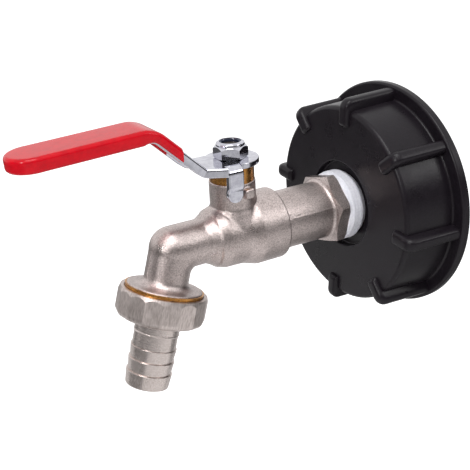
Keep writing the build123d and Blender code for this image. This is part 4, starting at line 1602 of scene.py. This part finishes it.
@dataclass
class Studio:
    """Camera at the photograph's angle, soft lamps, white surroundings and a pale floor."""

    position: tuple[float, float, float] = (-0.1913, -0.2180, 0.1036)
    azimuth: float = -29.09
    elevation: float = 21.28
    roll: float = -3.01
    focal_px: float = 804.46
    frame_px: float = 470.0
    centre_px: tuple[float, float] = (226.32, 215.9)
    floor_z: float = -0.11
    floor_half: float = 3.0
    floor_glow: float = 0.72
    ambient: float = 0.45

    def build(self) -> None:
        """Sets up camera, world, floor, cards and lamps."""
        self.camera()
        self.world()
        self.floor()
        self.lamps()
        self.cards()
        bpy.context.scene.view_settings.view_transform = "Standard"

    def camera(self) -> None:
        """Places the camera, whose axes follow from azimuth, elevation and roll."""
        azimuth, elevation, roll = (
            math.radians(v) for v in (self.azimuth, self.elevation, self.roll))
        right = Vector((math.cos(azimuth), math.sin(azimuth), 0))
        back = Vector((math.sin(azimuth) * math.cos(elevation),
                       -math.cos(azimuth) * math.cos(elevation), math.sin(elevation)))
        up = back.cross(right)
        across = right * math.cos(roll) + up * math.sin(roll)
        upward = up * math.cos(roll) - right * math.sin(roll)
        lens = bpy.data.cameras.new("camera")
        lens.sensor_width = 36.0
        lens.sensor_fit = "HORIZONTAL"
        lens.lens = self.focal_px / self.frame_px * lens.sensor_width
        lens.shift_x = (self.frame_px / 2 - self.centre_px[0]) / self.frame_px
        lens.shift_y = (self.centre_px[1] - self.frame_px / 2) / self.frame_px
        lens.clip_start = 0.01
        eye = add_object("camera", lens)
        turn = Matrix((across, upward, back)).transposed().to_4x4()
        eye.matrix_world = Matrix.Translation(self.position) @ turn
        bpy.context.scene.camera = eye

    def world(self) -> None:
        """White to the camera and in reflections, and a plain grey level of soft light."""
        world = bpy.data.worlds.new("studio")
        bpy.context.scene.world = world
        tree = empty_tree(world)
        path = add_node(tree, "ShaderNodeLightPath")
        seen = add_node(tree, "ShaderNodeMath", {"operation": "MAXIMUM"}, {
            0: path.outputs["Is Camera Ray"], 1: path.outputs["Is Glossy Ray"]})
        seen = add_node(tree, "ShaderNodeMath", {"operation": "MAXIMUM"}, {
            0: seen.outputs["Value"], 1: path.outputs["Is Transmission Ray"]})
        soft = add_node(tree, "ShaderNodeBackground", {
            "Color": WHITE, "Strength": self.ambient})
        white = add_node(tree, "ShaderNodeBackground", {
            "Color": WHITE, "Strength": 1.0})
        mixed = add_node(tree, "ShaderNodeMixShader", links={
            0: seen.outputs["Value"], 1: soft.outputs["Background"],
            2: white.outputs["Background"]})
        add_node(tree, "ShaderNodeOutputWorld", links={"Surface": mixed.outputs["Shader"]})

    def floor(self) -> None:
        """Pale floor that keeps a soft shadow and melts into the white surroundings."""
        half = self.floor_half
        material = bpy.data.materials.new("pale_studio_floor")
        tree = empty_tree(material)
        path = add_node(tree, "ShaderNodeLightPath")
        matt = add_node(tree, "ShaderNodeBsdfDiffuse", {"Color": (0.86, 0.86, 0.86, 1)})
        glow = add_node(tree, "ShaderNodeEmission", {"Color": WHITE, "Strength": self.floor_glow})
        lit = add_node(tree, "ShaderNodeAddShader", links={
            0: matt.outputs["BSDF"], 1: glow.outputs["Emission"]})
        shown = add_node(tree, "ShaderNodeMixShader", links={
            0: path.outputs["Is Camera Ray"], 1: matt.outputs["BSDF"],
            2: lit.outputs["Shader"]})
        add_node(tree, "ShaderNodeOutputMaterial", links={"Surface": shown.outputs["Shader"]})
        corners = [(x, y, self.floor_z) for x, y in (
            (-half, -half), (half, -half), (half, half), (-half, half))]
        mesh = bpy.data.meshes.new("studio_floor")
        mesh.from_pydata(corners, [], [(0, 1, 2, 3)])
        mesh.materials.append(material)
        floor = add_object("studio_floor", mesh)

    def lamps(self) -> None:
        """A large soft lamp above, a narrower one from the left and a weak one from the right."""
        aim = Vector(STUDIO_MIDDLE)
        for name, place, size, power in (
            ("top_softbox", (-0.25, -0.25, 0.75), 0.5, 3.4),
            ("left_softbox", (-0.75, -0.35, 0.35), 0.13, 1.6),
            ("right_softbox", (0.45, -0.6, 0.45), 0.3, 0.9),
        ):
            light = bpy.data.lights.new(name, "AREA")
            light.shape = "DISK"
            light.size = size
            light.energy = power
            lamp = add_object(name, light)
            lamp.location = place
            lamp.rotation_euler = (aim - Vector(place)).to_track_quat("-Z", "Y").to_euler()

    def cards(self) -> None:
        """Grey cards round the object that only reflections see, as in a tabletop set."""
        for card in (
            Card("front_card", (-205, -15), (0.9, 0.0), (0.9, 0.45), 0.06),
            Card("near_table_left", (-215, -150), (0.04, -0.105), (0.3, -0.105), 0.45),
            Card("near_table_middle", (-150, -40), (0.04, -0.105), (0.3, -0.105), 0.9),
            Card("near_table_right", (-40, 10), (0.04, -0.105), (0.3, -0.105), 0.3),
            Card("far_table_left", (-215, -145), (0.3, -0.105), (0.9, -0.105), 0.12),
            Card("far_table_middle", (-145, -66), (0.3, -0.105), (0.9, -0.105), 0.6),
            Card("far_table_right", (-66, -40), (0.3, -0.105), (0.9, -0.105), 0.8),
            Card("far_table_side", (-40, 10), (0.3, -0.105), (0.9, -0.105), 0.12),
            Card("far_table_back", (95, 145), (0.3, -0.105), (0.9, -0.105), 0.12),
        ):
            card.build()


def main() -> None:
    """Builds the studio and each sub-assembly in order."""
    logging.basicConfig(level=logging.INFO, format="%(name)s: %(message)s")
    for assembly in (Studio, TankCap, InletConnector, ValveBody, Lever, HoseOutlet):
        assembly().build()


if __name__ == "__main__":
    main()
